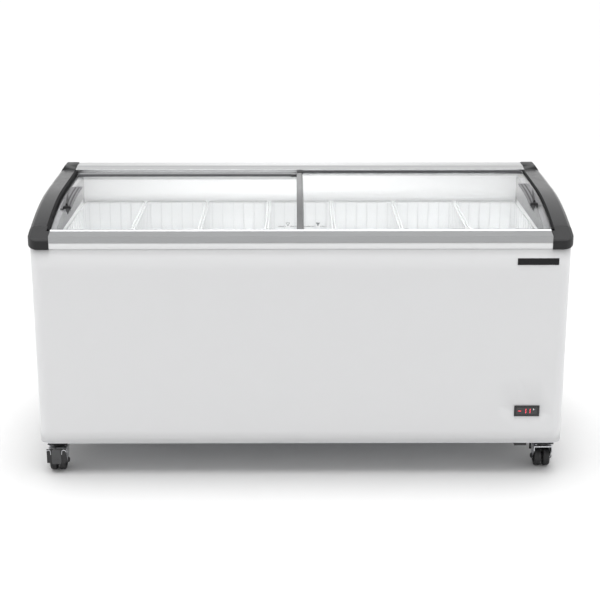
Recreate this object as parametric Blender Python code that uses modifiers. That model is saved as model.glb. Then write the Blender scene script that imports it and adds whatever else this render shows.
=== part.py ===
"""Commercial display chest freezer with two sliding curved glass lids, on four twin-wheel casters.

Metres, +Z up. The front of the freezer faces -Y and its length runs along X. The origin is on the
floor under the middle of the freezer. Run with: blender --background --python part.py
"""

import math

import bmesh
import bpy
from mathutils import Matrix, Vector

# Overall size
LENGTH = 1.620
DEPTH = 0.670
HEIGHT = 0.850
GAP = 0.0003  # clearance between pieces that touch

# Line of the curved top, seen from the side: a slope, an arc and a nearly level run
EDGE_HEIGHT = 0.755  # top of the front edge
SLOPE_DEPTH = 0.050  # how far back the straight front slope runs
ARC_END_DEPTH = 0.360
FRONT_SLOPE = math.radians(20.0)
REAR_SLOPE = math.radians(1.5)

# Cabinet
CABINET_LENGTH = 1.610
CABINET_FRONT = 0.004  # depths are counted back from the front of the corner caps
CABINET_REAR = 0.6590
CORNER_RADIUS = 0.035
CABINET_BOTTOM = 0.106
PAN_THICKNESS = 0.0017
SHEET = 0.0012
PANEL_BELOW_TOP = 0.0295  # the cabinet's sides end this far below the line of the top
FOAM_BELOW_TOP = 0.0310
SILL_BOTTOM = 0.7276
SILL_TOP = 0.7467

# Liner, and the compressor's compartment under its raised floor
LINER_LENGTH = 1.481
LINER_FRONT = 0.0605
LINER_REAR = 0.6045
LINER_FLOOR = 0.170
LINER_BELOW_TOP = 0.0250
LEDGE_HEIGHT = 0.7240  # the baskets' rims rest here
LEDGE_WIDTH = 0.010
HUMP_LEFT = 0.430
HUMP_HEIGHT = 0.430
COIL_SPACE = 0.010  # between liner and foam
ROOM_LEFT = 0.495
ROOM_FRONT = 0.050
ROOM_HEIGHT = 0.365
FLOOR_OF_ROOM = CABINET_BOTTOM + PAN_THICKNESS + GAP

# Top frame
TRIM_WIDTH = 0.053
TRIM_HEIGHT = 0.029
TRIM_BEVEL = (0.009, 0.0063)  # width and height of the corner taken off the outer edges
FLANGE_INNER = 0.7330
FLANGE_TOP = 0.0205  # below the line of the top
FLANGE_BOTTOM = 0.0235
CAP_WIDTH = 0.066
CAP_DEPTH = 0.0695
REAR_CAP_FRONT = 0.600
REAR_CAP_BEVEL = (0.0125, 0.0185)
RAIL_LIP_HEIGHT = 0.777
REAR_RAIL_HEIGHT = 0.848
REAR_SKIRT = 0.790  # the rear pieces reach down to here behind the rear panel

# Sliding lids: offsets are below the line of the top
GLASS = 0.004
LID_EDGE = 0.007
UPPER_LID_TOP = 0.0035
LOWER_LID_TOP = 0.0125
LID_OUTER_END = 0.7490
LID_ROOM_FRONT = 0.0458  # the front caps are cut away behind here for the lids' corners
LID_ROOM_FLOOR = 0.7507
LOWER_LID_INNER_END = 0.010
UPPER_LID_INNER_END = -0.012
MEETING_BAR = 0.018
LID_EDGE_DEPTH = 0.012
UPPER_LID_SPAN = (0.0465, 0.5830)
LOWER_LID_SPAN = (0.0545, 0.5750)
HANDLE_SPAN = (0.1985, 0.415)
HANDLE_INNER = 0.7075
HANDLE_WIDTH = 0.0355
HANDLE_PLATE = 0.003
FIN_DEPTHS = (0.2010, 0.3420)
FIN_TAIL = (0.7403, 0.7427)  # the handle's pieces by their distances from the middle of the freezer
FIN_FOOT = (0.7177, 0.7267)
FIN_CREST = (0.7200, 0.7244)
FIN_TAIL_HEIGHT = 0.0045  # and their heights above the glass
FIN_CREST_HEIGHT = 0.0145
CROSS_BAR = (0.7092, 0.7332)
CROSS_BAR_DEPTH = 0.0055
CROSS_BAR_HEIGHT = 0.0090
NOSE_ROOT = (0.7105, 0.7245)
NOSE_TIP = (0.7115, 0.7135)
NOSE_END = 0.1630
NOSE_HEIGHTS = (0.0030, 0.0016)
NOSE_BASE = 0.0007
SUNK = 0.0010  # how far one joined piece reaches into the next

# Baskets
BASKET_COUNT = 7
BASKET_PITCH = 0.2096
BASKET_LENGTH = 0.2050
BASKET_TOP = 0.7300
BASKET_BOTTOM = 0.4900
BASKET_WALL = 0.003
BASKET_RIM = 0.0054
BASKET_HOOK = 0.0083  # how far the rims reach over the ledges

# Casters
CASTER_X = 0.756
CASTER_FRONT = 0.064
CASTER_REAR = 0.600
BASE_RAIL_BOTTOM = 0.0905
BASE_RAIL_WIDTH = 0.058
BASE_RAIL_SPAN = (0.036, 0.628)
CASTER_PLATE = 0.060
CASTER_PLATE_THICKNESS = 0.0036
WHEEL_RADIUS = 0.030
WHEEL_INNER = 0.0037
WHEEL_OUTER = 0.0237
AXLE_RADIUS = 0.0040
BORE_RADIUS = 0.0045
TRAIL = 0.012
FORK_HALF_WIDTH = 0.0285
FORK_SHEET = 0.0022
CROWN_TOP = 0.0757
CROWN_THICKNESS = 0.0034
PEDAL_INNER = 0.0345
PEDAL_THICKNESS = 0.0025
PEDAL_HALF_WIDTH = 0.0255
PEDAL_PLATE_HALF_WIDTH = 0.030
PEDAL_PLATE_HEIGHTS = (0.036, 0.082)
PEDAL_PLATE_THICKNESS = 0.0034
PEDAL_OVERLAP = 0.0014  # how far the foot plate reaches into the guard

# Display and badge on the front
DISPLAY_X = 0.691
DISPLAY_HEIGHT = 0.212
DISPLAY_SIZE = (0.077, 0.035)
BADGE_X = 0.704
BADGE_HEIGHT = 0.688
BADGE_SIZE = (0.123, 0.021)

# Louvre on the right side
GRILLE_DEPTHS = (0.210, 0.510)
GRILLE_HEIGHTS = (0.140, 0.335)
GRILLE_FACE = 0.0025
GRILLE_SLOTS = 9

# Condensing unit
FAN_CENTRE = (0.650, 0.232)
FAN_RADIUS = 0.085
COMPRESSOR_PLACE = (0.655, 0.500)
COIL_TURNS = 7
COIL_RADIUS = 0.0032
COIL_HEIGHTS = (0.455, 0.690)

SIDE_VIEW = (math.pi / 2, 0, math.pi / 2)  # an outline drawn in Y and Z, thickened along X
FRONT_VIEW = (math.pi / 2, 0, 0)  # an outline drawn in X and Z, thickened along Y
PLAN_VIEW = (0, 0, 0)  # an outline drawn in X and Y, thickened along Z

for old in list(bpy.data.objects):
    bpy.data.objects.remove(old, do_unlink=True)

parts = bpy.data.collections.new("chest_freezer")
cutters = bpy.data.collections.new("cutters")
bpy.context.scene.collection.children.link(parts)
bpy.context.scene.collection.children.link(cutters)


def at(depth):
    """The Y of a place this far back from the front."""
    return depth - DEPTH / 2


def top_height(depth):
    """Height of the curved top at this depth."""
    slope_top = EDGE_HEIGHT + SLOPE_DEPTH * math.tan(FRONT_SLOPE)
    if depth <= SLOPE_DEPTH:
        return EDGE_HEIGHT + depth * math.tan(FRONT_SLOPE)
    radius = (ARC_END_DEPTH - SLOPE_DEPTH) / (math.sin(FRONT_SLOPE) - math.sin(REAR_SLOPE))
    if depth <= ARC_END_DEPTH:
        slope = math.asin(math.sin(FRONT_SLOPE) - (depth - SLOPE_DEPTH) / radius)
        return slope_top + radius * (math.cos(slope) - math.cos(FRONT_SLOPE))
    arc_top = slope_top + radius * (math.cos(REAR_SLOPE) - math.cos(FRONT_SLOPE))
    return arc_top + (depth - ARC_END_DEPTH) * math.tan(REAR_SLOPE)


def top_line(start, end, below, steps=8):
    """Points (y, z) along the curved top between two depths, lowered by a distance."""
    depths = [start]
    for i in range(steps + 1):
        depth = SLOPE_DEPTH + (ARC_END_DEPTH - SLOPE_DEPTH) * i / steps
        if start + 0.004 < depth < end - 0.004:
            depths.append(depth)
    depths.append(end)
    return [(at(depth), top_height(depth) - below) for depth in depths]


def rounded_plan(half_length, front, rear, radius, steps=6):
    """A plan outline with round corners at the front and square ones at the rear."""
    points = [(half_length, at(rear)), (-half_length, at(rear))]
    for side, first in ((-1, math.pi), (1, 1.5 * math.pi)):
        centre = (side * (half_length - radius), at(front) + radius)
        for i in range(steps + 1):
            angle = first + math.pi / 2 * i / steps
            points.append((centre[0] + radius * math.cos(angle), centre[1] + radius * math.sin(angle)))
    return points


def make_material(name, colour, roughness, metallic=0.0, alpha=1.0):
    material = bpy.data.materials.new(name)
    material.use_nodes = True
    shader = material.node_tree.nodes["Principled BSDF"]
    shader.inputs["Base Color"].default_value = (*colour, 1)
    shader.inputs["Roughness"].default_value = roughness
    shader.inputs["Metallic"].default_value = metallic
    shader.inputs["Alpha"].default_value = alpha
    return material


WHITE_STEEL = make_material("white_painted_steel", (0.80, 0.81, 0.82), 0.35)
WHITE_PLASTIC = make_material("white_plastic", (0.82, 0.83, 0.84), 0.40)
LINER_WHITE = make_material("liner_white", (0.86, 0.88, 0.89), 0.35)
FOAM_YELLOW = make_material("foam", (0.78, 0.66, 0.38), 0.90)
ZINC = make_material("galvanised_steel", (0.55, 0.56, 0.57), 0.45, 1.0)
ALUMINIUM = make_material("brushed_aluminium", (0.66, 0.67, 0.68), 0.32, 1.0)
GREY_PLASTIC = make_material("dark_grey_plastic", (0.050, 0.051, 0.054), 0.45)
PANEL_GREY = make_material("light_grey_plastic", (0.60, 0.62, 0.63), 0.45)
BLACK_PLASTIC = make_material("black_plastic", (0.012, 0.012, 0.013), 0.40)
BLACK_GLOSS = make_material("black_gloss", (0.008, 0.008, 0.009), 0.15)
BLACK_STEEL = make_material("black_painted_steel", (0.015, 0.015, 0.016), 0.45)
TINTED_GLASS = make_material("glass", (0.85, 0.90, 0.89), 0.04, 0.0, 0.25)
WHITE_WIRE = make_material("white_coated_wire", (0.84, 0.85, 0.86), 0.40)
COPPER = make_material("copper", (0.72, 0.38, 0.24), 0.35, 1.0)
TYRE_BLACK = make_material("black_wheel", (0.018, 0.018, 0.019), 0.55)
RUBBER = make_material("rubber", (0.06, 0.06, 0.065), 0.80)


def link(name, mesh, collection=parts):
    thing = bpy.data.objects.new(name, mesh)
    collection.objects.link(thing)
    return thing


def finish(thing, material):
    """Gives a part its material."""
    thing.data.materials.clear()
    thing.data.materials.append(material)
    return thing


def as_cutter(thing):
    for collection in list(thing.users_collection):
        collection.objects.unlink(thing)
    cutters.objects.link(thing)
    thing.hide_render = True
    thing.display_type = "WIRE"
    return thing


def apply_placement(thing):
    """Moves an object's placement into its mesh, so that its origin is the world's."""
    thing.data.transform(thing.matrix_basis)
    thing.matrix_basis = Matrix.Identity(4)
    return thing


def curve_to_mesh(thing):
    """Replaces a curve object by a mesh object with welded caps."""
    bpy.context.view_layer.update()
    evaluated = thing.evaluated_get(bpy.context.evaluated_depsgraph_get())
    mesh = bpy.data.meshes.new_from_object(evaluated)
    form = bmesh.new()
    form.from_mesh(mesh)
    bmesh.ops.remove_doubles(form, verts=form.verts, dist=0.00001)
    bmesh.ops.recalc_face_normals(form, faces=form.faces)
    form.to_mesh(mesh)
    form.free()
    name = thing.name
    placement = thing.matrix_world.copy()
    bpy.data.objects.remove(thing, do_unlink=True)
    solid = link(name, mesh)
    solid.matrix_world = placement
    return apply_placement(solid)


def slab(name, outline, low, high, view):
    """A flat outline thickened from low to high along the axis that the view looks down."""
    curve = bpy.data.curves.new(name, "CURVE")
    curve.dimensions = "2D"
    curve.fill_mode = "BOTH"
    curve.extrude = (high - low) / 2
    spline = curve.splines.new("POLY")
    spline.points.add(len(outline) - 1)
    for point, (u, v) in zip(spline.points, outline):
        point.co = (u, v, 0, 1)
    spline.use_cyclic_u = True
    thing = link(name, curve)
    thing.rotation_euler = view
    along = {SIDE_VIEW: (1, 0, 0), FRONT_VIEW: (0, 1, 0), PLAN_VIEW: (0, 0, 1)}[view]
    thing.location = Vector(along) * (low + high) / 2
    return curve_to_mesh(thing)


def block(name, low, high):
    """A box between two corners."""
    form = bmesh.new()
    bmesh.ops.create_cube(form, size=1)
    size = [b - a for a, b in zip(low, high)]
    bmesh.ops.scale(form, vec=size, verts=form.verts)
    bmesh.ops.translate(form, vec=[(a + b) / 2 for a, b in zip(low, high)], verts=form.verts)
    mesh = bpy.data.meshes.new(name)
    form.to_mesh(mesh)
    form.free()
    return link(name, mesh)


def rod(name, radius, start, end, sides=20):
    """A cylinder between two points."""
    start, end = Vector(start), Vector(end)
    form = bmesh.new()
    bmesh.ops.create_cone(
        form, cap_ends=True, segments=sides, radius1=radius, radius2=radius, depth=(end - start).length
    )
    turn = Vector((0, 0, 1)).rotation_difference(end - start).to_matrix()
    bmesh.ops.rotate(form, matrix=turn, verts=form.verts)
    bmesh.ops.translate(form, vec=(start + end) / 2, verts=form.verts)
    mesh = bpy.data.meshes.new(name)
    form.to_mesh(mesh)
    form.free()
    return link(name, mesh)


def turned(name, profile, sides, axis, place):
    """A profile of (radius, height) turned about an axis through a place."""
    form = bmesh.new()
    corners = [form.verts.new((radius, 0, height)) for radius, height in profile]
    for first, second in zip(corners, corners[1:] + corners[:1]):
        form.edges.new((first, second))
    mesh = bpy.data.meshes.new(name)
    form.to_mesh(mesh)
    form.free()
    thing = link(name, mesh)
    screw = thing.modifiers.new("turn", "SCREW")
    screw.steps = sides
    screw.render_steps = sides
    screw.use_merge_vertices = True
    screw.merge_threshold = 0.00001
    turn = Vector((0, 0, 1)).rotation_difference(Vector(axis))
    thing.matrix_world = Matrix.Translation(place) @ turn.to_matrix().to_4x4()
    return thing


def combine(thing, others, operation):
    """Joins, cuts or trims a part by others, which become cutters."""
    for other in others:
        as_cutter(other)
        step = thing.modifiers.new(operation.lower(), "BOOLEAN")
        step.operation = operation
        step.solver = "EXACT"
        step.object = other
    return thing


def settle(thing):
    """Applies a part's modifiers, so that it can be cut or copied as a plain mesh."""
    bpy.context.view_layer.update()
    evaluated = thing.evaluated_get(bpy.context.evaluated_depsgraph_get())
    mesh = bpy.data.meshes.new_from_object(evaluated)
    thing.modifiers.clear()
    thing.data = mesh
    return thing


def hull(name, points):
    """The convex solid round a set of points."""
    form = bmesh.new()
    for point in points:
        form.verts.new(point)
    bmesh.ops.convex_hull(form, input=form.verts)
    bmesh.ops.recalc_face_normals(form, faces=form.faces)
    mesh = bpy.data.meshes.new(name)
    form.to_mesh(mesh)
    form.free()
    return link(name, mesh)


def round_edges(thing, width, segments=2, angle=35):
    bevel = thing.modifiers.new("round", "BEVEL")
    bevel.width = width
    bevel.segments = segments
    bevel.limit_method = "ANGLE"
    bevel.angle_limit = math.radians(angle)
    return thing


def above_top(name, below, front=-0.05, rear=0.72):
    """A cutter that takes away everything above the curved top, lowered by a distance."""
    line = top_line(0.0, DEPTH, below)
    line[0] = (at(front), line[0][1] + front * math.tan(FRONT_SLOPE))
    line[-1] = (at(rear), line[-1][1])
    outline = line + [(at(rear), 1.2), (at(front), 1.2)]
    return slab(name, outline, -1.0, 1.0, SIDE_VIEW)


# Cabinet -------------------------------------------------------------------------------------


def make_cabinet_wrap():
    """Painted sheet round the front and both sides, with openings for the display and louvre."""
    rear = CABINET_REAR - 0.0018
    half = CABINET_LENGTH / 2
    outer = rounded_plan(half, CABINET_FRONT, rear, CORNER_RADIUS)
    inner_radius = CORNER_RADIUS - SHEET
    inner = rounded_plan(half - SHEET, CABINET_FRONT + SHEET, rear + 0.02, inner_radius)
    wrap = slab("cabinet_wrap", outer, FLOOR_OF_ROOM, 0.86, PLAN_VIEW)
    hollow = slab("wrap_hollow", inner, 0.05, 0.90, PLAN_VIEW)
    wide, tall = DISPLAY_SIZE
    window = block(
        "display_window",
        (DISPLAY_X - wide / 2 + 0.002, at(-0.01), DISPLAY_HEIGHT - tall / 2 + 0.002),
        (DISPLAY_X + wide / 2 - 0.002, at(0.03), DISPLAY_HEIGHT + tall / 2 - 0.002),
    )
    louvre = block(
        "grille_window",
        (half - 0.02, at(GRILLE_DEPTHS[0] + 0.006), GRILLE_HEIGHTS[0] + 0.006),
        (half + 0.02, at(GRILLE_DEPTHS[1] - 0.006), GRILLE_HEIGHTS[1] - 0.006),
    )
    combine(wrap, [hollow, above_top("wrap_top_cut", PANEL_BELOW_TOP), window, louvre], "DIFFERENCE")
    finish(wrap, WHITE_STEEL)


def make_rear_panel():
    top = top_height(CABINET_REAR) - FOAM_BELOW_TOP
    half = CABINET_LENGTH / 2
    panel = block(
        "rear_panel",
        (-half, at(CABINET_REAR - 0.0015), FLOOR_OF_ROOM),
        (half, at(CABINET_REAR), top),
    )
    hole = rod("inlet_hole", 0.0135, (0.70, at(0.60), 0.165), (0.70, at(0.70), 0.165))
    combine(panel, [hole], "DIFFERENCE")
    finish(panel, ZINC)


def make_bottom_pan():
    outline = rounded_plan(CABINET_LENGTH / 2, CABINET_FRONT, CABINET_REAR, CORNER_RADIUS)
    pan = slab("bottom_pan", outline, CABINET_BOTTOM, CABINET_BOTTOM + PAN_THICKNESS, PLAN_VIEW)
    finish(pan, ZINC)


def liner_form(name, grow, top):
    """The liner's outer form with its raised floor, made larger or smaller all round."""
    half = LINER_LENGTH / 2 + grow
    floor = LINER_FLOOR - grow
    hump_left = HUMP_LEFT + grow
    hump = HUMP_HEIGHT - grow
    outline = [(-half, top), (-half, floor), (hump_left, floor), (hump_left, hump), (half, hump), (half, top)]
    front, rear = LINER_FRONT - grow, LINER_REAR + grow
    form = slab(name, outline, at(front), at(rear), FRONT_VIEW)
    ledge = LEDGE_HEIGHT - SHEET - grow
    shelves = [
        block(name + "_front_shelf", (-1, at(-0.1), 0), (1, at(front + LEDGE_WIDTH), ledge)),
        block(name + "_rear_shelf", (-1, at(rear - LEDGE_WIDTH), 0), (1, at(0.8), ledge)),
    ]
    return settle(combine(form, shelves, "DIFFERENCE"))


def make_inner_liner():
    """Open-topped tub with a raised floor at the right and a ledge for the baskets."""
    liner = liner_form("inner_liner", 0.0, 0.86)
    hollow = liner_form("liner_hollow", -SHEET, 0.90)
    rail_room = block("rail_room", (-0.9, at(-0.01), SILL_TOP - GAP), (0.9, at(LINER_FRONT + 0.006), 0.9))
    combine(liner, [hollow, above_top("liner_top_cut", LINER_BELOW_TOP), rail_room], "DIFFERENCE")
    finish(liner, LINER_WHITE)


def make_foam():
    """Insulation between the cabinet and the liner, with the compressor's compartment left out."""
    inset = SHEET + GAP
    outline = rounded_plan(
        CABINET_LENGTH / 2 - inset, CABINET_FRONT + inset, CABINET_REAR - 0.0021, CORNER_RADIUS - inset
    )
    foam = slab("foam_insulation", outline, FLOOR_OF_ROOM, 0.84, PLAN_VIEW)
    room = block("compressor_room", (ROOM_LEFT, at(ROOM_FRONT), 0.05), (0.90, at(0.80), ROOM_HEIGHT))
    sill_room = block("sill_room", (-0.90, at(-0.10), SILL_BOTTOM - GAP), (0.90, at(LINER_FRONT), 0.90))
    wide, tall = DISPLAY_SIZE
    display_room = block(
        "display_room",
        (DISPLAY_X - wide / 2, at(-0.02), DISPLAY_HEIGHT - tall / 2),
        (DISPLAY_X + wide / 2, at(ROOM_FRONT + 0.02), DISPLAY_HEIGHT + tall / 2),
    )
    side = LINER_LENGTH / 2 + COIL_SPACE / 2
    supply = block(
        "supply_channel",
        (side - 0.007, at(0.323), ROOM_HEIGHT - 0.02),
        (side + 0.007, at(0.337), HUMP_HEIGHT),
    )
    back = LINER_REAR - LEDGE_WIDTH
    return_line = block(
        "return_channel",
        (0.512, at(back - 0.002), ROOM_HEIGHT - 0.02),
        (0.545, at(back + 0.031), COIL_HEIGHTS[1] + 0.014),
    )
    cuts = [
        liner_form("foam_hollow", COIL_SPACE, 0.92),
        room,
        sill_room,
        display_room,
        supply,
        return_line,
        above_top("foam_top_cut", FOAM_BELOW_TOP),
    ]
    combine(foam, cuts, "DIFFERENCE")
    finish(foam, FOAM_YELLOW)


def make_side_grille():
    """Louvred plate in the right side, in front of the condensing unit."""
    face = CABINET_LENGTH / 2
    front, rear = GRILLE_DEPTHS
    bottom, top = GRILLE_HEIGHTS
    plate = block("side_grille", (face + GAP, at(front), bottom), (face + GRILLE_FACE, at(rear), top))
    pitch = (top - bottom - 0.024) / GRILLE_SLOTS
    slots = []
    for i in range(GRILLE_SLOTS):
        low = bottom + 0.012 + pitch * i + pitch * 0.22
        slots.append(
            block(
                f"grille_slot_{i + 1}",
                (face - 0.02, at(front + 0.014), low),
                (face + 0.02, at(rear - 0.014), low + pitch * 0.56),
            )
        )
    combine(plate, slots, "DIFFERENCE")
    finish(plate, WHITE_PLASTIC)


def make_base_rail(name, centre):
    """Channel section under the cabinet that carries a front and a rear caster."""
    half = BASE_RAIL_WIDTH / 2
    wall = 0.0025
    top = CABINET_BOTTOM - GAP
    outline = [
        (centre - half, top),
        (centre - half, BASE_RAIL_BOTTOM),
        (centre + half, BASE_RAIL_BOTTOM),
        (centre + half, top),
        (centre + half - wall, top),
        (centre + half - wall, BASE_RAIL_BOTTOM + wall),
        (centre - half + wall, BASE_RAIL_BOTTOM + wall),
        (centre - half + wall, top),
    ]
    rail = slab(name, outline, at(BASE_RAIL_SPAN[0]), at(BASE_RAIL_SPAN[1]), FRONT_VIEW)
    finish(rail, BLACK_STEEL)


# Condensing unit -----------------------------------------------------------------------------


def make_compressor():
    """Hermetic compressor: a domed can on a foot plate with four rubber feet."""
    x, depth = COMPRESSOR_PLACE
    floor = FLOOR_OF_ROOM + GAP
    plate_top = floor + 0.018
    profile = [(0.0, 0.186), (0.040, 0.182), (0.064, 0.168), (0.074, 0.146), (0.074, 0.046)]
    profile += [(0.064, 0.024), (0.040, 0.012), (0.0, 0.010)]
    can = turned("compressor", profile, 24, (0, 0, 1), (x, at(depth), floor))
    settle(can)
    apply_placement(can)
    plate = block(
        "compressor_plate",
        (x - 0.085, at(depth) - 0.060, plate_top - 0.003),
        (x + 0.085, at(depth) + 0.060, plate_top + 0.003),
    )
    feet = []
    for side in (-1, 1):
        for end in (-1, 1):
            place = (x + side * 0.070, at(depth) + end * 0.046)
            feet.append(rod("compressor_foot", 0.011, (*place, floor), (*place, plate_top), 12))
    stub = rod(
        "compressor_stub",
        0.005,
        (x + 0.045, at(depth), floor + 0.14),
        (x + 0.045, at(depth), floor + 0.205),
        10,
    )
    combine(can, [plate, stub] + feet, "UNION")
    finish(can, BLACK_STEEL)


def make_condenser():
    """Finned block in front of the fan: fins on both faces of a core."""
    low = (0.530, at(0.068), FLOOR_OF_ROOM + GAP)
    high = (0.770, at(0.118), 0.335)
    core = block("condenser", low, high)
    cuts = []
    fins = 8
    pitch = (high[0] - low[0]) / fins
    for i in range(fins):
        start = low[0] + pitch * (i + 0.3)
        for face in (low[1], high[1]):
            cuts.append(
                block(
                    f"condenser_slot_{i + 1}",
                    (start, face - 0.016, low[2] + 0.012),
                    (start + pitch * 0.4, face + 0.016, high[2] - 0.012),
                )
            )
    combine(core, cuts, "DIFFERENCE")
    finish(core, ALUMINIUM)


def make_fan():
    """Motor on a bracket behind the condenser, and a five-bladed fan on its shaft."""
    x, z = FAN_CENTRE
    motor = rod("fan_motor", 0.030, (x, at(0.172), z), (x, at(0.215), z), 24)
    shaft = rod("fan_shaft", 0.0030, (x, at(0.140), z), (x, at(0.180), z), 12)
    post = block(
        "fan_post", (x - 0.012, at(0.180), FLOOR_OF_ROOM + GAP), (x + 0.012, at(0.205), z - 0.020)
    )
    foot = block(
        "fan_foot",
        (x - 0.040, at(0.176), FLOOR_OF_ROOM + GAP),
        (x + 0.040, at(0.212), FLOOR_OF_ROOM + 0.004),
    )
    combine(motor, [shaft, post, foot], "UNION")
    finish(motor, BLACK_STEEL)
    hub = rod("fan_blade", 0.019, (0, -0.011, 0), (0, 0.011, 0), 20)
    blades = []
    for i in range(5):
        blade = block(f"fan_vane_{i + 1}", (0.012, -0.001, -0.020), (FAN_RADIUS, 0.001, 0.024))
        blade.data.transform(Matrix.Rotation(math.radians(24), 4, "X"))
        blade.data.transform(Matrix.Rotation(math.tau * i / 5, 4, "Y"))
        blades.append(blade)
    settle(combine(hub, blades, "UNION"))
    bore = rod("fan_bore", 0.0036, (0, -0.03, 0), (0, 0.03, 0), 12)
    settle(combine(hub, [bore], "DIFFERENCE"))
    hub.location = (x, at(0.155), z)
    finish(hub, BLACK_PLASTIC)


def coil_route():
    """Turns round the liner between its upper and lower heights, with both ends in the room below."""
    side = LINER_LENGTH / 2 + COIL_SPACE / 2
    front = at(LINER_FRONT + LEDGE_WIDTH) - COIL_SPACE / 2
    rear = at(LINER_REAR - LEDGE_WIDTH) + COIL_SPACE / 2
    radius = 0.008
    steps = 3
    corners = [
        ((side - radius, rear - radius), 0.0),
        ((-side + radius, rear - radius), math.pi / 2),
        ((-side + radius, front + radius), math.pi),
        ((side - radius, front + radius), 1.5 * math.pi),
    ]
    low, high = COIL_HEIGHTS
    route = [(side, at(0.330), ROOM_HEIGHT - 0.035), (side, at(0.330), low - 0.012), (side, at(0.342), low)]
    total = COIL_TURNS * len(corners)
    for turn in range(COIL_TURNS):
        for index, (centre, first) in enumerate(corners):
            height = low + (high - low) * (turn * len(corners) + index) / total
            for step in range(steps + 1):
                angle = first + math.pi / 2 * step / steps
                x = centre[0] + radius * math.cos(angle)
                y = centre[1] + radius * math.sin(angle)
                route.append((x, y, height))
    route.append((side, rear - 0.060, high))
    for step in range(1, steps):
        angle = math.pi / 2 * step / steps
        x = side - radius * (1 - math.cos(angle))
        y = rear - radius * (1 - math.sin(angle))
        route.append((x, y, high))
    route.append((0.534, rear, high))
    route.append((0.520, rear + 0.008, high))
    route.append((0.520, rear + 0.0165, high - 0.010))
    route.append((0.520, rear + 0.0165, ROOM_HEIGHT - 0.035))
    return route


def make_evaporator_coil():
    curve = bpy.data.curves.new("evaporator_coil", "CURVE")
    curve.dimensions = "3D"
    curve.bevel_depth = COIL_RADIUS
    curve.bevel_resolution = 1
    curve.use_fill_caps = True
    route = coil_route()
    spline = curve.splines.new("POLY")
    spline.points.add(len(route) - 1)
    for point, place in zip(spline.points, route):
        point.co = (*place, 1)
    finish(curve_to_mesh(link("evaporator_coil", curve)), COPPER)


def make_cord_inlet():
    """Gland in the rear panel where a supply cord would enter."""
    panel = at(CABINET_REAR)
    profile = [(0.0048, 0.0), (0.0085, 0.0), (0.0125, -0.003), (0.0125, -0.024), (0.0048, -0.024)]
    gland = turned("cord_inlet", profile, 20, (0, 1, 0), (0.70, panel + 0.009, 0.165))
    finish(gland, BLACK_PLASTIC)


def make_drain_plug():
    """Rubber bung with a pull knob, lying over the drain in the liner's floor."""
    profile = [(0.0, 0.016), (0.007, 0.014), (0.008, 0.009), (0.005, 0.006), (0.016, 0.004), (0.018, 0.0), (0.0, 0.0)]
    plug = turned("drain_plug", profile, 20, (0, 0, 1), (-0.680, at(0.120), LINER_FLOOR + SHEET + GAP))
    finish(plug, RUBBER)


# Display and badge ---------------------------------------------------------------------------


def make_display():
    wide, tall = DISPLAY_SIZE
    front = CABINET_FRONT - 0.0022
    bezel = block(
        "display_housing",
        (DISPLAY_X - wide / 2, at(front), DISPLAY_HEIGHT - tall / 2),
        (DISPLAY_X + wide / 2, at(CABINET_FRONT - GAP), DISPLAY_HEIGHT + tall / 2),
    )
    round_edges(bezel, 0.0006, 1)
    case = block(
        "display_case",
        (DISPLAY_X - wide / 2 + 0.003, at(CABINET_FRONT - 0.001), DISPLAY_HEIGHT - tall / 2 + 0.003),
        (DISPLAY_X + wide / 2 - 0.003, at(0.048), DISPLAY_HEIGHT + tall / 2 - 0.003),
    )
    recess = block(
        "display_recess",
        (DISPLAY_X - 0.0325, at(front - 0.01), DISPLAY_HEIGHT - 0.0120),
        (DISPLAY_X + 0.0325, at(front + 0.0010), DISPLAY_HEIGHT + 0.0120),
    )
    combine(bezel, [case], "UNION")
    combine(bezel, [recess], "DIFFERENCE")
    finish(bezel, BLACK_PLASTIC)
    lens = block(
        "display_lens",
        (DISPLAY_X - 0.0322, at(front + 0.0001), DISPLAY_HEIGHT - 0.0117),
        (DISPLAY_X + 0.0322, at(front + 0.0007), DISPLAY_HEIGHT + 0.0117),
    )
    finish(lens, BLACK_GLOSS)


def make_name_plate():
    wide, tall = BADGE_SIZE
    plate = block(
        "name_plate",
        (BADGE_X - wide / 2, at(CABINET_FRONT - 0.0018), BADGE_HEIGHT - tall / 2),
        (BADGE_X + wide / 2, at(CABINET_FRONT - GAP), BADGE_HEIGHT + tall / 2),
    )
    round_edges(plate, 0.0006, 1)
    finish(plate, BLACK_GLOSS)


# Top frame -----------------------------------------------------------------------------------

RAIL_END = LENGTH / 2 - CAP_WIDTH - GAP
TRIM_INNER = LENGTH / 2 - TRIM_WIDTH


def make_front_rail():
    """Aluminium section with a lip and two ledges for the lids' front edges."""
    upper = top_height(UPPER_LID_SPAN[0]) - UPPER_LID_TOP - LID_EDGE - GAP
    lower = top_height(LOWER_LID_SPAN[0]) - LOWER_LID_TOP - LID_EDGE - GAP
    inner = LINER_FRONT + 0.0035
    outline = [
        (at(0.0010), SILL_TOP + GAP),
        (at(0.0010), 0.7660),
        (at(0.0022), 0.7672),
        (at(0.0390), RAIL_LIP_HEIGHT - 0.0005),
        (at(0.0415), RAIL_LIP_HEIGHT),
        (at(0.0455), RAIL_LIP_HEIGHT),
        (at(0.0460), RAIL_LIP_HEIGHT - 0.0015),
        (at(0.0460), upper),
        (at(LOWER_LID_SPAN[0] - GAP), upper),
        (at(LOWER_LID_SPAN[0] - GAP), lower),
        (at(inner), lower),
        (at(inner), SILL_TOP + GAP),
    ]
    rail = slab("front_rail", outline, -RAIL_END, RAIL_END, SIDE_VIEW)
    finish(rail, ALUMINIUM)


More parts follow.
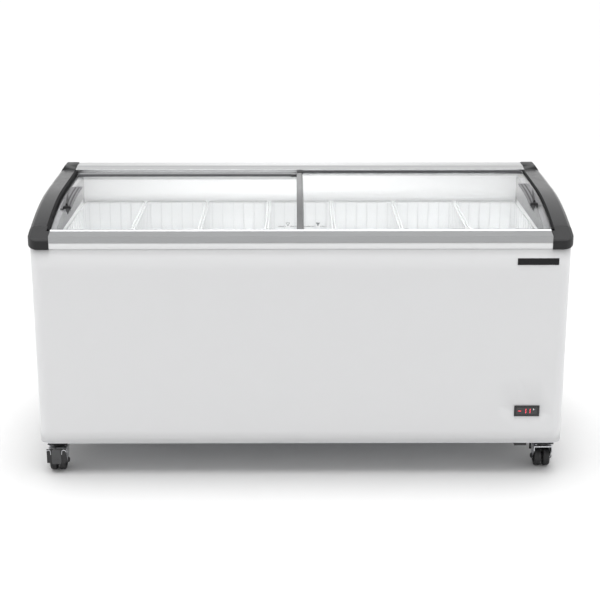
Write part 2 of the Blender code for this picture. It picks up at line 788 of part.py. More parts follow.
def make_front_sill():
    """White band with a softly rounded face between the cabinet's front and the rail."""
    outline = [(at(LINER_FRONT - GAP), SILL_BOTTOM), (at(LINER_FRONT - GAP), SILL_TOP)]
    height = SILL_TOP - SILL_BOTTOM
    steps = 8
    for i in range(steps + 1):
        angle = math.pi * i / steps
        depth = 0.0045 - 0.0035 * math.sin(angle)
        outline.append((at(depth), SILL_TOP - height * (1 - math.cos(angle)) / 2))
    sill = slab("front_sill", outline, -RAIL_END, RAIL_END, SIDE_VIEW)
    finish(sill, WHITE_PLASTIC)


def make_rear_rail():
    """Aluminium section at the back with two ledges for the lids' rear edges."""
    lower = top_height(LOWER_LID_SPAN[1] - 0.009) - LOWER_LID_TOP - LID_EDGE - GAP
    upper = top_height(LOWER_LID_SPAN[1]) - UPPER_LID_TOP - LID_EDGE - GAP
    step = LOWER_LID_SPAN[1] + GAP
    behind = UPPER_LID_SPAN[1] + GAP * 2
    bottom = lower - 0.003
    outline = [
        (at(step - 0.009), bottom),
        (at(step - 0.009), lower),
        (at(step), lower),
        (at(step), upper),
        (at(behind), upper),
        (at(behind), top_height(behind) + 0.0005),
        (at(behind + 0.0015), top_height(behind) + 0.0015),
        (at(0.6120), REAR_RAIL_HEIGHT - 0.0010),
        (at(0.6180), REAR_RAIL_HEIGHT),
        (at(0.6640), REAR_RAIL_HEIGHT),
        (at(DEPTH), REAR_RAIL_HEIGHT - 0.0050),
        (at(DEPTH), REAR_SKIRT),
        (at(CABINET_REAR + 0.0010), REAR_SKIRT),
        (at(CABINET_REAR + 0.0010), bottom),
    ]
    rail = slab("rear_rail", outline, -TRIM_INNER + GAP, TRIM_INNER - GAP, SIDE_VIEW)
    finish(rail, ALUMINIUM)


def side_span(side, inner, outer):
    """Lowest and highest X of a piece between two distances from the middle, on one side."""
    return sorted((side * inner, side * outer))


def make_side_trim(name, side):
    """Curved plastic strip along the side of the top, with an inner flange under the lids' ends."""
    start, end = CAP_DEPTH + GAP, REAR_CAP_FRONT - GAP
    outline = top_line(start, end, 0.0) + top_line(start, end, TRIM_HEIGHT)[::-1]
    low, high = side_span(side, TRIM_INNER, LENGTH / 2)
    strip = slab(name, outline, low, high, SIDE_VIEW)
    cut = edge_cut(side, *TRIM_BEVEL, 0.0)
    edge = slab(name + "_bevel", cut, at(0.0), at(DEPTH), FRONT_VIEW)
    end = LOWER_LID_SPAN[1] - 0.0095
    outline = top_line(start, end, FLANGE_TOP) + top_line(start, end, FLANGE_BOTTOM)[::-1]
    low, high = side_span(side, FLANGE_INNER, TRIM_INNER + 0.004)
    flange = slab(name + "_flange", outline, low, high, SIDE_VIEW)
    shear_to_top(edge, start)
    combine(strip, [edge], "DIFFERENCE")
    combine(strip, [flange], "UNION")
    finish(strip, GREY_PLASTIC)


def edge_cut(side, width, drop, level):
    """Section of the corner taken off an outer top edge that stands at this level."""
    outer = side * LENGTH / 2
    beyond = outer + side * 0.02
    return [
        (outer - side * width, level),
        (outer - side * width, level + 0.02),
        (beyond, level + 0.02),
        (beyond, level - drop),
        (outer, level - drop),
    ]


def shear_to_top(thing, start):
    """Bends a straight bar so that it follows the curved top."""
    form = bmesh.new()
    form.from_mesh(thing.data)
    for point, _ in top_line(start, REAR_CAP_FRONT, 0.0):
        bmesh.ops.bisect_plane(
            form,
            geom=form.verts[:] + form.edges[:] + form.faces[:],
            plane_co=(0, point, 0),
            plane_no=(0, 1, 0),
        )
    for vertex in form.verts:
        vertex.co.z += top_height(vertex.co.y + DEPTH / 2)
    bmesh.ops.recalc_face_normals(form, faces=form.faces)
    form.to_mesh(thing.data)
    form.free()


def make_front_corner(name, side):
    """Moulded cap at a front corner, rounded where the cabinet's corner is."""
    outline = [(at(0.0), top_height(0.0) - TRIM_HEIGHT)]
    outline += [(at(0.0), EDGE_HEIGHT - 0.007), (at(0.0018), EDGE_HEIGHT - 0.0025)]
    outline += [(at(0.0060), top_height(0.0060))]
    outline += top_line(0.020, CAP_DEPTH, 0.0)
    outline += [(at(CAP_DEPTH), top_height(CAP_DEPTH) - TRIM_HEIGHT)]
    low, high = side_span(side, LENGTH / 2 - CAP_WIDTH, LENGTH / 2)
    cap = slab(name, outline, low, high, SIDE_VIEW)
    plan = rounded_plan(LENGTH / 2, 0.0, 0.20, 0.034)
    footprint = slab(name + "_plan", plan, 0.60, 0.90, PLAN_VIEW)
    combine(cap, [footprint], "INTERSECT")
    cut = edge_cut(side, *TRIM_BEVEL, 0.0)
    bevel = slab(name + "_bevel", cut, at(-0.05), at(DEPTH), FRONT_VIEW)
    shear_to_top(bevel, 0.004)
    low, high = side_span(side, 0.60, TRIM_INNER)
    lid_room = block(name + "_lid_room", (low, at(LID_ROOM_FRONT), LID_ROOM_FLOOR), (high, at(DEPTH), 0.90))
    combine(cap, [bevel, lid_room], "DIFFERENCE")
    finish(cap, GREY_PLASTIC)


def make_rear_corner(name, side):
    """Moulded cap at a rear corner, a little higher than the side strip."""
    front = REAR_CAP_FRONT
    outline = [
        (at(front), REAR_SKIRT),
        (at(front), top_height(front)),
        (at(front + 0.012), HEIGHT),
        (at(DEPTH - 0.004), HEIGHT),
        (at(DEPTH), HEIGHT - 0.004),
        (at(DEPTH), REAR_SKIRT),
    ]
    low, high = side_span(side, TRIM_INNER, LENGTH / 2)
    cap = slab(name, outline, low, high, SIDE_VIEW)
    round_edges(cap, 0.003, 1, 60)
    cabinet_room = block(
        name + "_room",
        (-1, at(front - 0.1), 0.5),
        (1, at(CABINET_REAR + 0.0010), top_height(front) - TRIM_HEIGHT),
    )
    cut = edge_cut(side, *REAR_CAP_BEVEL, HEIGHT)
    slant = slab(name + "_slant", cut, at(front - 0.1), at(DEPTH + 0.1), FRONT_VIEW)
    combine(cap, [cabinet_room, slant], "DIFFERENCE")
    finish(cap, GREY_PLASTIC)


def make_inner_panel(name, side):
    """Light grey panel between the baskets' rims and the lids at one end of the opening."""
    front, rear = LINER_FRONT + 0.008, LINER_REAR - 0.004
    outline = top_line(front, rear, FLANGE_BOTTOM + 0.0012)
    outline += [
        (at(rear), LEDGE_HEIGHT + 0.0008),
        (at(rear - 0.0075), LEDGE_HEIGHT + 0.0008),
        (at(rear - 0.0075), 0.7400),
        (at(front), 0.7360),
    ]
    inner = LINER_LENGTH / 2 - SHEET - 0.0050
    low, high = side_span(side, inner, inner + 0.0025)
    panel = slab(name, outline, low, high, SIDE_VIEW)
    finish(panel, PANEL_GREY)


# Sliding lids --------------------------------------------------------------------------------


def lid_strip(name, span, top, thickness, low, high, material):
    """A piece of a lid that follows the curved top between two depths."""
    outline = top_line(*span, top) + top_line(*span, top + thickness)[::-1]
    return finish(slab(name, outline, low, high, SIDE_VIEW), material)


def over_glass(side, glass_top, corners):
    """Points from (distance from the middle, depth, height above the glass) corners on one side."""
    points = []
    for across, depth, height in corners:
        points.append((side * across, at(depth), top_height(depth) - glass_top + height))
    return points


def make_handle(name, side, glass_top):
    """Grip on the glass: a plate, a slanting fin that grows to the front, a cross bar and a nose."""
    start, end = HANDLE_SPAN
    fin_front, fin_rear = FIN_DEPTHS
    base = top_line(start, end, glass_top - GAP)
    outline = base + [(y, z + HANDLE_PLATE) for y, z in base][::-1]
    low, high = side_span(side, HANDLE_INNER, HANDLE_INNER + HANDLE_WIDTH)
    grip = slab(name, outline, low, high, SIDE_VIEW)
    foot, crest = HANDLE_PLATE, FIN_CREST_HEIGHT
    fin = [(x, fin_rear, z) for x in FIN_TAIL for z in (foot, FIN_TAIL_HEIGHT)]
    fin += [(x, fin_front, foot) for x in FIN_FOOT]
    fin += [(x, fin_front, crest) for x in FIN_CREST]
    bar = []
    for depth in (start, start + CROSS_BAR_DEPTH):
        bar += [(x, depth, z) for x in CROSS_BAR for z in (SUNK, CROSS_BAR_HEIGHT)]
    root_height, tip_height = NOSE_HEIGHTS
    nose = [(x, start + SUNK, z) for x in NOSE_ROOT for z in (NOSE_BASE, root_height)]
    nose += [(x, NOSE_END, z) for x in NOSE_TIP for z in (NOSE_BASE, tip_height)]
    added = []
    for label, corners in (("fin", fin), ("bar", bar), ("nose", nose)):
        added.append(hull(f"{name}_{label}", over_glass(side, glass_top, corners)))
    combine(grip, added, "UNION")
    finish(grip, GREY_PLASTIC)


def make_lid(prefix, span, top, outer_side, inner_end):
    """Curved glass with edge sections at front, rear and inner end, and a handle near the outer end."""
    outer_end = outer_side * LID_OUTER_END
    low, high = sorted((outer_end, inner_end))
    front, rear = span
    front_inner, rear_inner = front + LID_EDGE_DEPTH, rear - LID_EDGE_DEPTH
    edge = LID_EDGE
    lid_strip(prefix + "_front_edge", (front, front_inner - GAP), top, edge, low, high, GREY_PLASTIC)
    lid_strip(prefix + "_rear_edge", (rear_inner + GAP, rear), top, edge, low, high, ALUMINIUM)
    bar = sorted((inner_end, inner_end + outer_side * MEETING_BAR))
    lid_strip(prefix + "_meeting_bar", (front_inner, rear_inner), top, edge, *bar, ALUMINIUM)
    sheet = sorted((outer_end, inner_end + outer_side * (MEETING_BAR + GAP)))
    glass_top = top + (LID_EDGE - GLASS) / 2
    lid_strip(prefix + "_glass", (front_inner, rear_inner), glass_top, GLASS, *sheet, TINTED_GLASS)
    make_handle(prefix + "_handle", outer_side, glass_top)


# Baskets -------------------------------------------------------------------------------------


def make_baskets():
    """Open-topped baskets side by side, each hanging from the liner's ledges by its rims."""
    half = BASKET_LENGTH / 2
    front, rear = LINER_FRONT + LEDGE_WIDTH + 0.0025, LINER_REAR - LEDGE_WIDTH - 0.0025
    basket = block("basket_1", (-half, at(front), BASKET_BOTTOM), (half, at(rear), BASKET_TOP))
    rims = []
    for label, low, high in (
        ("front", front - BASKET_HOOK, front + 0.002),
        ("rear", rear - 0.002, rear + BASKET_HOOK),
    ):
        rim_bottom = BASKET_TOP - BASKET_RIM
        rims.append(
            block(f"basket_{label}_rim", (-half, at(low), rim_bottom), (half, at(high), BASKET_TOP))
        )
    combine(basket, rims, "UNION")
    wall = BASKET_WALL
    hollow = block(
        "basket_hollow",
        (-half + wall, at(front) + wall, BASKET_BOTTOM + wall),
        (half - wall, at(rear) - wall, BASKET_TOP + 0.05),
    )
    combine(basket, [hollow], "DIFFERENCE")
    settle(basket)
    finish(basket, WHITE_WIRE)
    for i in range(BASKET_COUNT):
        thing = basket if i == 0 else link(f"basket_{i + 1}", basket.data)
        thing.location.x = (i - (BASKET_COUNT - 1) / 2) * BASKET_PITCH


# Casters -------------------------------------------------------------------------------------


def make_caster_plate(name, place):
    """Fixed top plate with the upper race of the swivel."""
    x, y = place
    half = CASTER_PLATE / 2
    top = BASE_RAIL_BOTTOM - GAP
    bottom = top - CASTER_PLATE_THICKNESS
    plate = block(name, (x - half, y - half, bottom), (x + half, y + half, top))
    race = rod(name + "_race", 0.019, (x, y, CROWN_TOP + GAP), (x, y, bottom + 0.001), 24)
    combine(plate, [race], "UNION")
    finish(plate, BLACK_STEEL)


def make_fork(name, place, turn):
    """Swivelling fork: a crown plate, two side legs and the wheels' axle."""
    axle_y = -TRAIL
    inner = FORK_HALF_WIDTH - FORK_SHEET
    crown_bottom = CROWN_TOP - CROWN_THICKNESS
    crown = block(
        name, (-FORK_HALF_WIDTH, -0.027, crown_bottom), (FORK_HALF_WIDTH, 0.021, CROWN_TOP)
    )
    leg = [
        (-0.027, CROWN_TOP - 0.001),
        (-0.027, 0.060),
        (axle_y - 0.0075, WHEEL_RADIUS - 0.004),
        (axle_y - 0.004, WHEEL_RADIUS - 0.0075),
        (axle_y + 0.004, WHEEL_RADIUS - 0.0075),
        (axle_y + 0.0075, WHEEL_RADIUS - 0.004),
        (0.021, 0.060),
        (0.021, CROWN_TOP - 0.001),
    ]
    legs = []
    for side in (-1, 1):
        legs.append(slab(f"{name}_leg", leg, *side_span(side, inner, FORK_HALF_WIDTH), SIDE_VIEW))
    reach = FORK_HALF_WIDTH + 0.002
    axle = rod(
        name + "_axle", AXLE_RADIUS, (-reach, axle_y, WHEEL_RADIUS), (reach, axle_y, WHEEL_RADIUS), 16
    )
    settle(combine(crown, legs + [axle], "UNION"))
    crown.matrix_world = Matrix.Translation((*place, 0)) @ Matrix.Rotation(turn, 4, "Z")
    finish(crown, ZINC)


def make_wheels(name, place, turn):
    """Two wheels joined by a hub, turning on the fork's axle."""
    chamfer = 0.0022
    rim = WHEEL_RADIUS
    profile = [
        (BORE_RADIUS, WHEEL_OUTER - 0.0012),
        (0.0110, WHEEL_OUTER - 0.0012),
        (0.0125, WHEEL_OUTER),
        (rim - chamfer, WHEEL_OUTER),
        (rim, WHEEL_OUTER - chamfer),
        (rim, WHEEL_INNER + chamfer),
        (rim - chamfer, WHEEL_INNER),
        (0.0120, WHEEL_INNER),
    ]
    profile += [(radius, -height) for radius, height in profile[::-1]]
    axle = Matrix.Rotation(turn, 4, "Z") @ Vector((0, -TRAIL, WHEEL_RADIUS))
    wheels = turned(name, profile, 26, (1, 0, 0), Vector((*place, 0)) + axle)
    finish(wheels, TYRE_BLACK)


def make_pedal(name, place, turn):
    """Brake pedal: a curved guard over the wheels with a foot plate at its end."""
    axle = (-TRAIL, WHEEL_RADIUS)
    steps = 6
    first, last = math.radians(12), math.radians(76)
    angles = [first + (last - first) * i / steps for i in range(steps + 1)]

    def arc(radius):
        return [(axle[0] - radius * math.cos(a), axle[1] + radius * math.sin(a)) for a in angles]

    outline = arc(PEDAL_INNER) + arc(PEDAL_INNER + PEDAL_THICKNESS)[::-1]
    guard = slab(name, outline, -PEDAL_HALF_WIDTH, PEDAL_HALF_WIDTH, SIDE_VIEW)
    face = axle[0] - PEDAL_INNER - PEDAL_THICKNESS
    plate_half, (plate_low, plate_high) = PEDAL_PLATE_HALF_WIDTH, PEDAL_PLATE_HEIGHTS
    front = face - PEDAL_PLATE_THICKNESS + PEDAL_OVERLAP
    plate = block(
        name + "_plate", (-plate_half, front, plate_low), (plate_half, face + PEDAL_OVERLAP, plate_high)
    )
    settle(combine(guard, [plate], "UNION"))
    guard.matrix_world = Matrix.Translation((*place, 0)) @ Matrix.Rotation(turn, 4, "Z")
    finish(guard, BLACK_PLASTIC)


def make_casters():
    """Four casters; the brake of the right front one is turned to the back."""
    casters = (
        ("front_left", -CASTER_X, CASTER_FRONT, 0.0, True),
        ("front_right", CASTER_X, CASTER_FRONT, math.pi, True),
        ("rear_left", -CASTER_X, CASTER_REAR, math.pi, False),
        ("rear_right", CASTER_X, CASTER_REAR, math.pi, False),
    )
    for label, x, depth, turn, has_brake in casters:
        place = (x, at(depth))
        make_caster_plate(f"caster_plate_{label}", place)
        make_fork(f"caster_fork_{label}", place, turn)
        make_wheels(f"caster_wheels_{label}", place, turn)
        if has_brake:
            make_pedal(f"caster_brake_{label}", place, turn)


make_cabinet_wrap()
make_rear_panel()
make_bottom_pan()
make_foam()
make_inner_liner()
make_side_grille()
make_base_rail("base_rail_left", -CASTER_X)
make_base_rail("base_rail_right", CASTER_X)
make_compressor()
make_condenser()
make_fan()
make_evaporator_coil()
make_cord_inlet()
make_drain_plug()
make_display()
make_name_plate()
make_front_rail()
make_front_sill()
make_rear_rail()
for word, sign in (("left", -1), ("right", 1)):
    make_side_trim(f"side_trim_{word}", sign)
    make_front_corner(f"front_corner_{word}", sign)
    make_rear_corner(f"rear_corner_{word}", sign)
    make_inner_panel(f"inner_panel_{word}", sign)
make_lid("left_lid", LOWER_LID_SPAN, LOWER_LID_TOP, -1, LOWER_LID_INNER_END)
make_lid("right_lid", UPPER_LID_SPAN, UPPER_LID_TOP, 1, UPPER_LID_INNER_END)
make_baskets()
make_casters()
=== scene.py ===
"""Looks of a display chest freezer with two sliding curved glass lids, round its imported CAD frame.

Metres, +Z up, the front towards -Y. Depths are counted back from the front of the corner caps.
"""

import math

import bmesh
import bpy
from mathutils import Matrix, Vector


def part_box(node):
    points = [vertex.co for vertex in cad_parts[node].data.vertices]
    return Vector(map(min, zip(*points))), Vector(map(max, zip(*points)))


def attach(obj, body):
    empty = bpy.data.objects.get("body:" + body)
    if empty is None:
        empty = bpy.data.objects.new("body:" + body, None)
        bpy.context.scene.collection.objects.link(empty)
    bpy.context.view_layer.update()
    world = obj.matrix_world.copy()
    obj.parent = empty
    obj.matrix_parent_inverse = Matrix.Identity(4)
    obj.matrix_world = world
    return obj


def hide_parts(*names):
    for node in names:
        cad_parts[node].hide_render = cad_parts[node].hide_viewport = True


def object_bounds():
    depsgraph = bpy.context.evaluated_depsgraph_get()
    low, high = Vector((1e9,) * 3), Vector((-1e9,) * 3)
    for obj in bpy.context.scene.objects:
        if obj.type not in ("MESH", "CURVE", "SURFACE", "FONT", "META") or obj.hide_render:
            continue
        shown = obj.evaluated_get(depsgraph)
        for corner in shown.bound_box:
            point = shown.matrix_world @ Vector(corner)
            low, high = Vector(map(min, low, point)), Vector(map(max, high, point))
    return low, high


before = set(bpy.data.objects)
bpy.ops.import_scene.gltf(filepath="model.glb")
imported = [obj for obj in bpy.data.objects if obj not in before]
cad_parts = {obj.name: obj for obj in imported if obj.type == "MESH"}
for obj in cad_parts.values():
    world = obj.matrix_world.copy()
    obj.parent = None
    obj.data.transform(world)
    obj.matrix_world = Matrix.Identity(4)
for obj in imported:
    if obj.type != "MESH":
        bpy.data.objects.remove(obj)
cad_low, cad_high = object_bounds()

# Line of the curved top, as the CAD frame has it
EDGE_HEIGHT = 0.755
SLOPE_DEPTH = 0.050
ARC_END_DEPTH = 0.360
FRONT_SLOPE = math.radians(20.0)
REAR_SLOPE = math.radians(1.5)
ARC_RADIUS = (ARC_END_DEPTH - SLOPE_DEPTH) / (math.sin(FRONT_SLOPE) - math.sin(REAR_SLOPE))
HALF_LENGTH = (cad_high.x - cad_low.x) / 2

SHEET = 0.0012
SIDES = (("left", -1), ("right", 1))
CASTERS = ("front_left", "front_right", "rear_left", "rear_right")
BASKET_COUNT = 7

# Tones, as linear colours
WHITE_PAINT = (0.645, 0.647, 0.653)
LINER_WHITE = (0.89, 0.895, 0.90)
WHITE_MOULDING = (0.70, 0.705, 0.71)
WIRE_WHITE = (0.78, 0.785, 0.79)
# The rims are darker than the wires of the same coating: painted shade against the light that falls on them
# from above
RIM_SHADE_WHITE = (0.50, 0.505, 0.51)
TRIM_GREY = (0.028, 0.0282, 0.029)
CAP_GREY = (0.013, 0.0132, 0.014)
GRIP_GREY = (0.105, 0.105, 0.110)
# The ledges under the side strips are darkened for the shade they lie in: painted shade
LEDGE_SHADE_GREY = (0.12, 0.12, 0.125)
SEAL_BLACK = (0.004, 0.004, 0.0045)
# The inner side panels are darkened for the shade the trims cast on them: painted shade
PANEL_SHADE_GREY = (0.165, 0.165, 0.171)
SOFT_BLACK = (0.012, 0.012, 0.013)
DEEP_BLACK = (0.006, 0.006, 0.007)
TYRE_BLACK = (0.011, 0.011, 0.012)
PEDAL_GREY = (0.060, 0.061, 0.063)
ALUMINIUM = (0.60, 0.605, 0.61)
# The front rail's aluminium is darker than the rear rail's for the dark surroundings its face mirrors:
# painted reflection
RAIL_SHADE_GREY = (0.36, 0.365, 0.37)
# The meeting bars' aluminium is darkened against the bright light they catch: painted shade
BAR_SHADE_GREY = (0.22, 0.222, 0.225)
ZINC = (0.62, 0.63, 0.65)
COPPER = (0.72, 0.38, 0.24)
FOAM = (0.78, 0.66, 0.38)
RUBBER = (0.05, 0.05, 0.055)
GLASS_TINT = (0.990, 0.998, 0.996)
FLOOR_TONE = (0.66, 0.66, 0.66)
DIGIT_RED = (1.0, 0.05, 0.09)
DIGIT_WHITE = (0.9, 0.92, 0.95)
LINE_GREY = (0.20, 0.21, 0.22)


def at(depth):
    """The Y of a place this far back from the front."""
    return depth + cad_low.y


def top_slope(depth):
    if depth <= SLOPE_DEPTH:
        return FRONT_SLOPE
    if depth >= ARC_END_DEPTH:
        return REAR_SLOPE
    return math.asin(math.sin(FRONT_SLOPE) - (depth - SLOPE_DEPTH) / ARC_RADIUS)


def top_height(depth):
    """Height of the curved top at this depth."""
    if depth <= SLOPE_DEPTH:
        return EDGE_HEIGHT + depth * math.tan(FRONT_SLOPE)
    slope_top = EDGE_HEIGHT + SLOPE_DEPTH * math.tan(FRONT_SLOPE)
    if depth <= ARC_END_DEPTH:
        return slope_top + ARC_RADIUS * (math.cos(top_slope(depth)) - math.cos(FRONT_SLOPE))
    arc_top = slope_top + ARC_RADIUS * (math.cos(REAR_SLOPE) - math.cos(FRONT_SLOPE))
    return arc_top + (depth - ARC_END_DEPTH) * math.tan(REAR_SLOPE)


def on_top(section, depth):
    """A section of (x, drop below the curved top) points as points in space at this depth."""
    return [(x, at(depth), top_height(depth) - drop) for x, drop in section]


def spread(low, high, count):
    """Evenly spaced values from low to high, both included."""
    return [low + (high - low) * i / (count - 1) for i in range(count)]


# --- Materials ---


def scaled(colour, factor):
    return (*[min(1.0, part * factor) for part in colour], 1.0)


def add_node(tree, kind, values):
    """A node whose inputs, by name or number, are set to plain values."""
    node = tree.nodes.new(kind)
    for socket, value in values.items():
        node.inputs[socket].default_value = value
    return node


def surface(
    name, colour, roughness, metallic=0.0, tint=0.02, tint_scale=9.0, rough_span=0.05, rough_scale=40.0,
    bump_scale=600.0, bump=0.00005, stretch=(1.0, 1.0, 1.0), cells=False, sockets=None,
):
    """A finish whose tone, roughness and relief vary over the piece in the piece's own space."""
    material = bpy.data.materials.new(name)
    material.use_nodes = True
    tree, links = material.node_tree, material.node_tree.links
    shader = tree.nodes["Principled BSDF"]
    shader.inputs["Metallic"].default_value = metallic
    for socket, value in (sockets or {}).items():
        shader.inputs[socket].default_value = value
    place = tree.nodes.new("ShaderNodeTexCoord")
    mapping = add_node(tree, "ShaderNodeMapping", {"Scale": stretch})
    links.new(place.outputs["Object"], mapping.inputs["Vector"])

    def pattern(scale, detail):
        kind = "ShaderNodeTexVoronoi" if cells else "ShaderNodeTexNoise"
        texture = add_node(tree, kind, {"Scale": scale, "Detail": detail})
        links.new(mapping.outputs["Vector"], texture.inputs["Vector"])
        if not cells:
            return texture.outputs["Fac"]
        tone = tree.nodes.new("ShaderNodeSeparateColor")
        links.new(texture.outputs["Color"], tone.inputs["Color"])
        return tone.outputs["Red"]

    coarse = pattern(tint_scale, 3.0)
    mix = tree.nodes.new("ShaderNodeMix")
    mix.data_type = "RGBA"
    links.new(coarse, mix.inputs[0])
    mix.inputs[6].default_value = scaled(colour, 1 - tint)
    mix.inputs[7].default_value = scaled(colour, 1 + tint)
    links.new(mix.outputs[2], shader.inputs["Base Color"])
    middle = pattern(rough_scale, 2.0)
    lowest, highest = max(0.0, roughness - rough_span), min(1.0, roughness + rough_span)
    limits = {"From Min": 0.3, "From Max": 0.7, "To Min": lowest, "To Max": highest}
    span = add_node(tree, "ShaderNodeMapRange", limits)
    links.new(middle, span.inputs["Value"])
    links.new(span.outputs["Result"], shader.inputs["Roughness"])
    fine = pattern(bump_scale, 2.0)
    relief = add_node(tree, "ShaderNodeBump", {"Strength": 1.0, "Distance": bump})
    links.new(fine, relief.inputs["Height"])
    links.new(relief.outputs["Normal"], shader.inputs["Normal"])
    return material


BRUSHED_ALONG_X = (0.012, 1.0, 1.0)
BRUSHED_ALONG_Y = (1.0, 0.012, 1.0)
PAINT = surface(
    "white_painted_steel", WHITE_PAINT, 0.34, bump_scale=420, bump=0.00003, tint=0.008,
    sockets={"Coat Weight": 0.25, "Coat Roughness": 0.18},
)
LINER = surface("liner_white", LINER_WHITE, 0.42, bump_scale=260, bump=0.00006, tint=0.012)
MOULDING = surface("white_plastic", WHITE_MOULDING, 0.42, bump_scale=1500, bump=0.00003, tint=0.01)
WIRE = surface("white_coated_wire", WIRE_WHITE, 0.36, bump_scale=900, bump=0.00004, tint=0.02)
RIM = surface("white_wire_rim_painted_shade", RIM_SHADE_WHITE, 0.45, bump_scale=900, bump=0.00004, tint=0.03)
TRIM = surface("dark_grey_plastic", TRIM_GREY, 0.22, bump_scale=1800, bump=0.00005, tint=0.05)
CAP = surface(
    "dark_grey_cap", CAP_GREY, 0.42, bump_scale=1800, bump=0.00005, tint=0.05,
    sockets={"Specular IOR Level": 0.3},
)
LEDGE = surface("shaded_grey_plastic", LEDGE_SHADE_GREY, 0.50, bump_scale=1500, bump=0.00004, tint=0.02)
GRIP = surface("grip_grey", GRIP_GREY, 0.34, bump_scale=1800, bump=0.00004, tint=0.05)
PANEL = surface("light_grey_plastic", PANEL_SHADE_GREY, 0.45, bump_scale=1500, bump=0.00004, tint=0.02)
BLACK = surface("black_plastic", SOFT_BLACK, 0.40, bump_scale=1600, bump=0.00005, tint=0.15)
GLOSS = surface(
    "black_gloss", DEEP_BLACK, 0.12, bump_scale=90, bump=0.00002, tint=0.2, rough_span=0.04,
    sockets={"Coat Weight": 0.6, "Coat Roughness": 0.05},
)
PLATE = surface(
    "blank_plate", DEEP_BLACK, 0.28, bump_scale=90, bump=0.00002, tint=0.2, rough_span=0.04,
    sockets={"Specular IOR Level": 0.25},
)
POWDER = surface("black_powder_coat", SOFT_BLACK, 0.50, bump_scale=1100, bump=0.00010, tint=0.2)
TYRE = surface("black_wheel", TYRE_BLACK, 0.52, bump_scale=1400, bump=0.00008, tint=0.25)
PEDAL = surface("grey_pedal", PEDAL_GREY, 0.50, bump_scale=1400, bump=0.00008, tint=0.10)
GRAIN = {"tint_scale": 900, "rough_scale": 700, "bump_scale": 2200, "bump": 0.00003}
BRUSHED = surface("brushed_aluminium", ALUMINIUM, 0.22, 1.0, 0.05, stretch=BRUSHED_ALONG_X, **GRAIN)
RAIL = surface("front_rail_aluminium_painted_shade", RAIL_SHADE_GREY, 0.34, 1.0, 0.06, stretch=BRUSHED_ALONG_X, **GRAIN)
BAR = surface("meeting_bar_aluminium_painted_shade", BAR_SHADE_GREY, 0.32, 1.0, 0.06, stretch=BRUSHED_ALONG_Y, **GRAIN)
GALVANISED = surface(
    "galvanised_steel", ZINC, 0.40, 1.0, tint=0.05, tint_scale=70, rough_scale=90, rough_span=0.10,
    bump_scale=90, bump=0.00002, cells=True,
)
PLATED = surface("zinc_plate", ZINC, 0.28, 1.0, tint=0.06, bump_scale=500, bump=0.00004)
TUBE = surface("copper_tube", COPPER, 0.35, 1.0, tint=0.12, tint_scale=30, bump_scale=300)
FOAMED = surface("foam", FOAM, 0.90, tint=0.10, bump_scale=500, bump=0.0008)
SEAL = surface(
    "black_seal", SEAL_BLACK, 0.75, bump_scale=1300, bump=0.00006, tint=0.2,
    sockets={"Specular IOR Level": 0.2},
)
BUNG = surface("grey_rubber", RUBBER, 0.80, bump_scale=900, bump=0.0001, tint=0.12)
# The handle fin's own black, also used for the painted shade in the grip's grooves
FIN_AND_GROOVE_SHADE = surface("handle_fin_and_groove_shade", SOFT_BLACK, 0.45, bump_scale=1800, bump=0.00005, tint=0.06)
PRINT = surface("printed_grey", LINE_GREY, 0.50, bump_scale=1500, bump=0.00001, tint=0.05)
PALE_FLOOR = surface("pale_floor", FLOOR_TONE, 0.75, tint=0.004, bump_scale=60, bump=0.0002)
GLASS = surface(
    "clear_glass", GLASS_TINT, 0.03, tint=0.003, rough_scale=14, rough_span=0.02, bump_scale=7,
    bump=0.00003, sockets={"Transmission Weight": 1.0, "IOR": 1.48},
)


def make_lit(name, colour, strength):
    """A lit segment behind a lens."""
    base = scaled(colour, 0.7)[:3]
    lit = {"Emission Color": (*colour, 1), "Emission Strength": strength}
    return surface(name, base, 0.35, tint=0.05, bump_scale=900, bump=0.00002, sockets=lit)


RED_SEGMENT = make_lit("red_segment", DIGIT_RED, 1.6)
WHITE_SEGMENT = make_lit("white_segment", DIGIT_WHITE, 0.6)


# --- Mesh tools ---


def show(name, data):
    """A new object in the scene."""
    thing = bpy.data.objects.new(name, data)
    bpy.context.scene.collection.objects.link(thing)
    return thing


def add_piece(name, form, material, body="cabinet", replaces=(), sharp=35.0):
    """Turns a finished bmesh into a smooth-shaded piece that rides on a body."""
    bmesh.ops.recalc_face_normals(form, faces=form.faces)
    mesh = bpy.data.meshes.new(name)
    form.to_mesh(mesh)
    form.free()
    mesh.shade_smooth()
    mesh.set_sharp_from_angle(angle=math.radians(sharp))
    mesh.materials.append(material)
    thing = show(name, mesh)
    even = thing.modifiers.new("even_shading", "WEIGHTED_NORMAL")
    even.mode = "FACE_AREA"
    even.weight = 100
    even.keep_sharp = True
    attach(thing, body)
    if replaces:
        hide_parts(*replaces)
    return thing


def rounded(corners, steps=4):
    """A closed outline from (u, v, radius) corners, with an arc at each corner that has a radius."""
    outline = []
    for i, (u, v, radius) in enumerate(corners):
        corner = Vector((u, v))
        before = Vector(corners[i - 1][:2]) - corner
        after = Vector(corners[(i + 1) % len(corners)][:2]) - corner
        half = before.angle(after) / 2
        if radius <= 0 or half > math.pi / 2 - 0.01:
            outline.append(corner)
            continue
        reach = min(radius / math.tan(half), 0.48 * before.length, 0.48 * after.length)
        towards = before.normalized() + after.normalized()
        centre = corner + towards.normalized() * (reach / math.cos(half))
        first = corner + before.normalized() * reach - centre
        last = corner + after.normalized() * reach - centre
        sweep = first.angle(last)
        for step in range(steps + 1):
            share = step / steps
            arm = first * math.sin((1 - share) * sweep) + last * math.sin(share * sweep)
            outline.append(centre + arm / math.sin(sweep))
    return outline


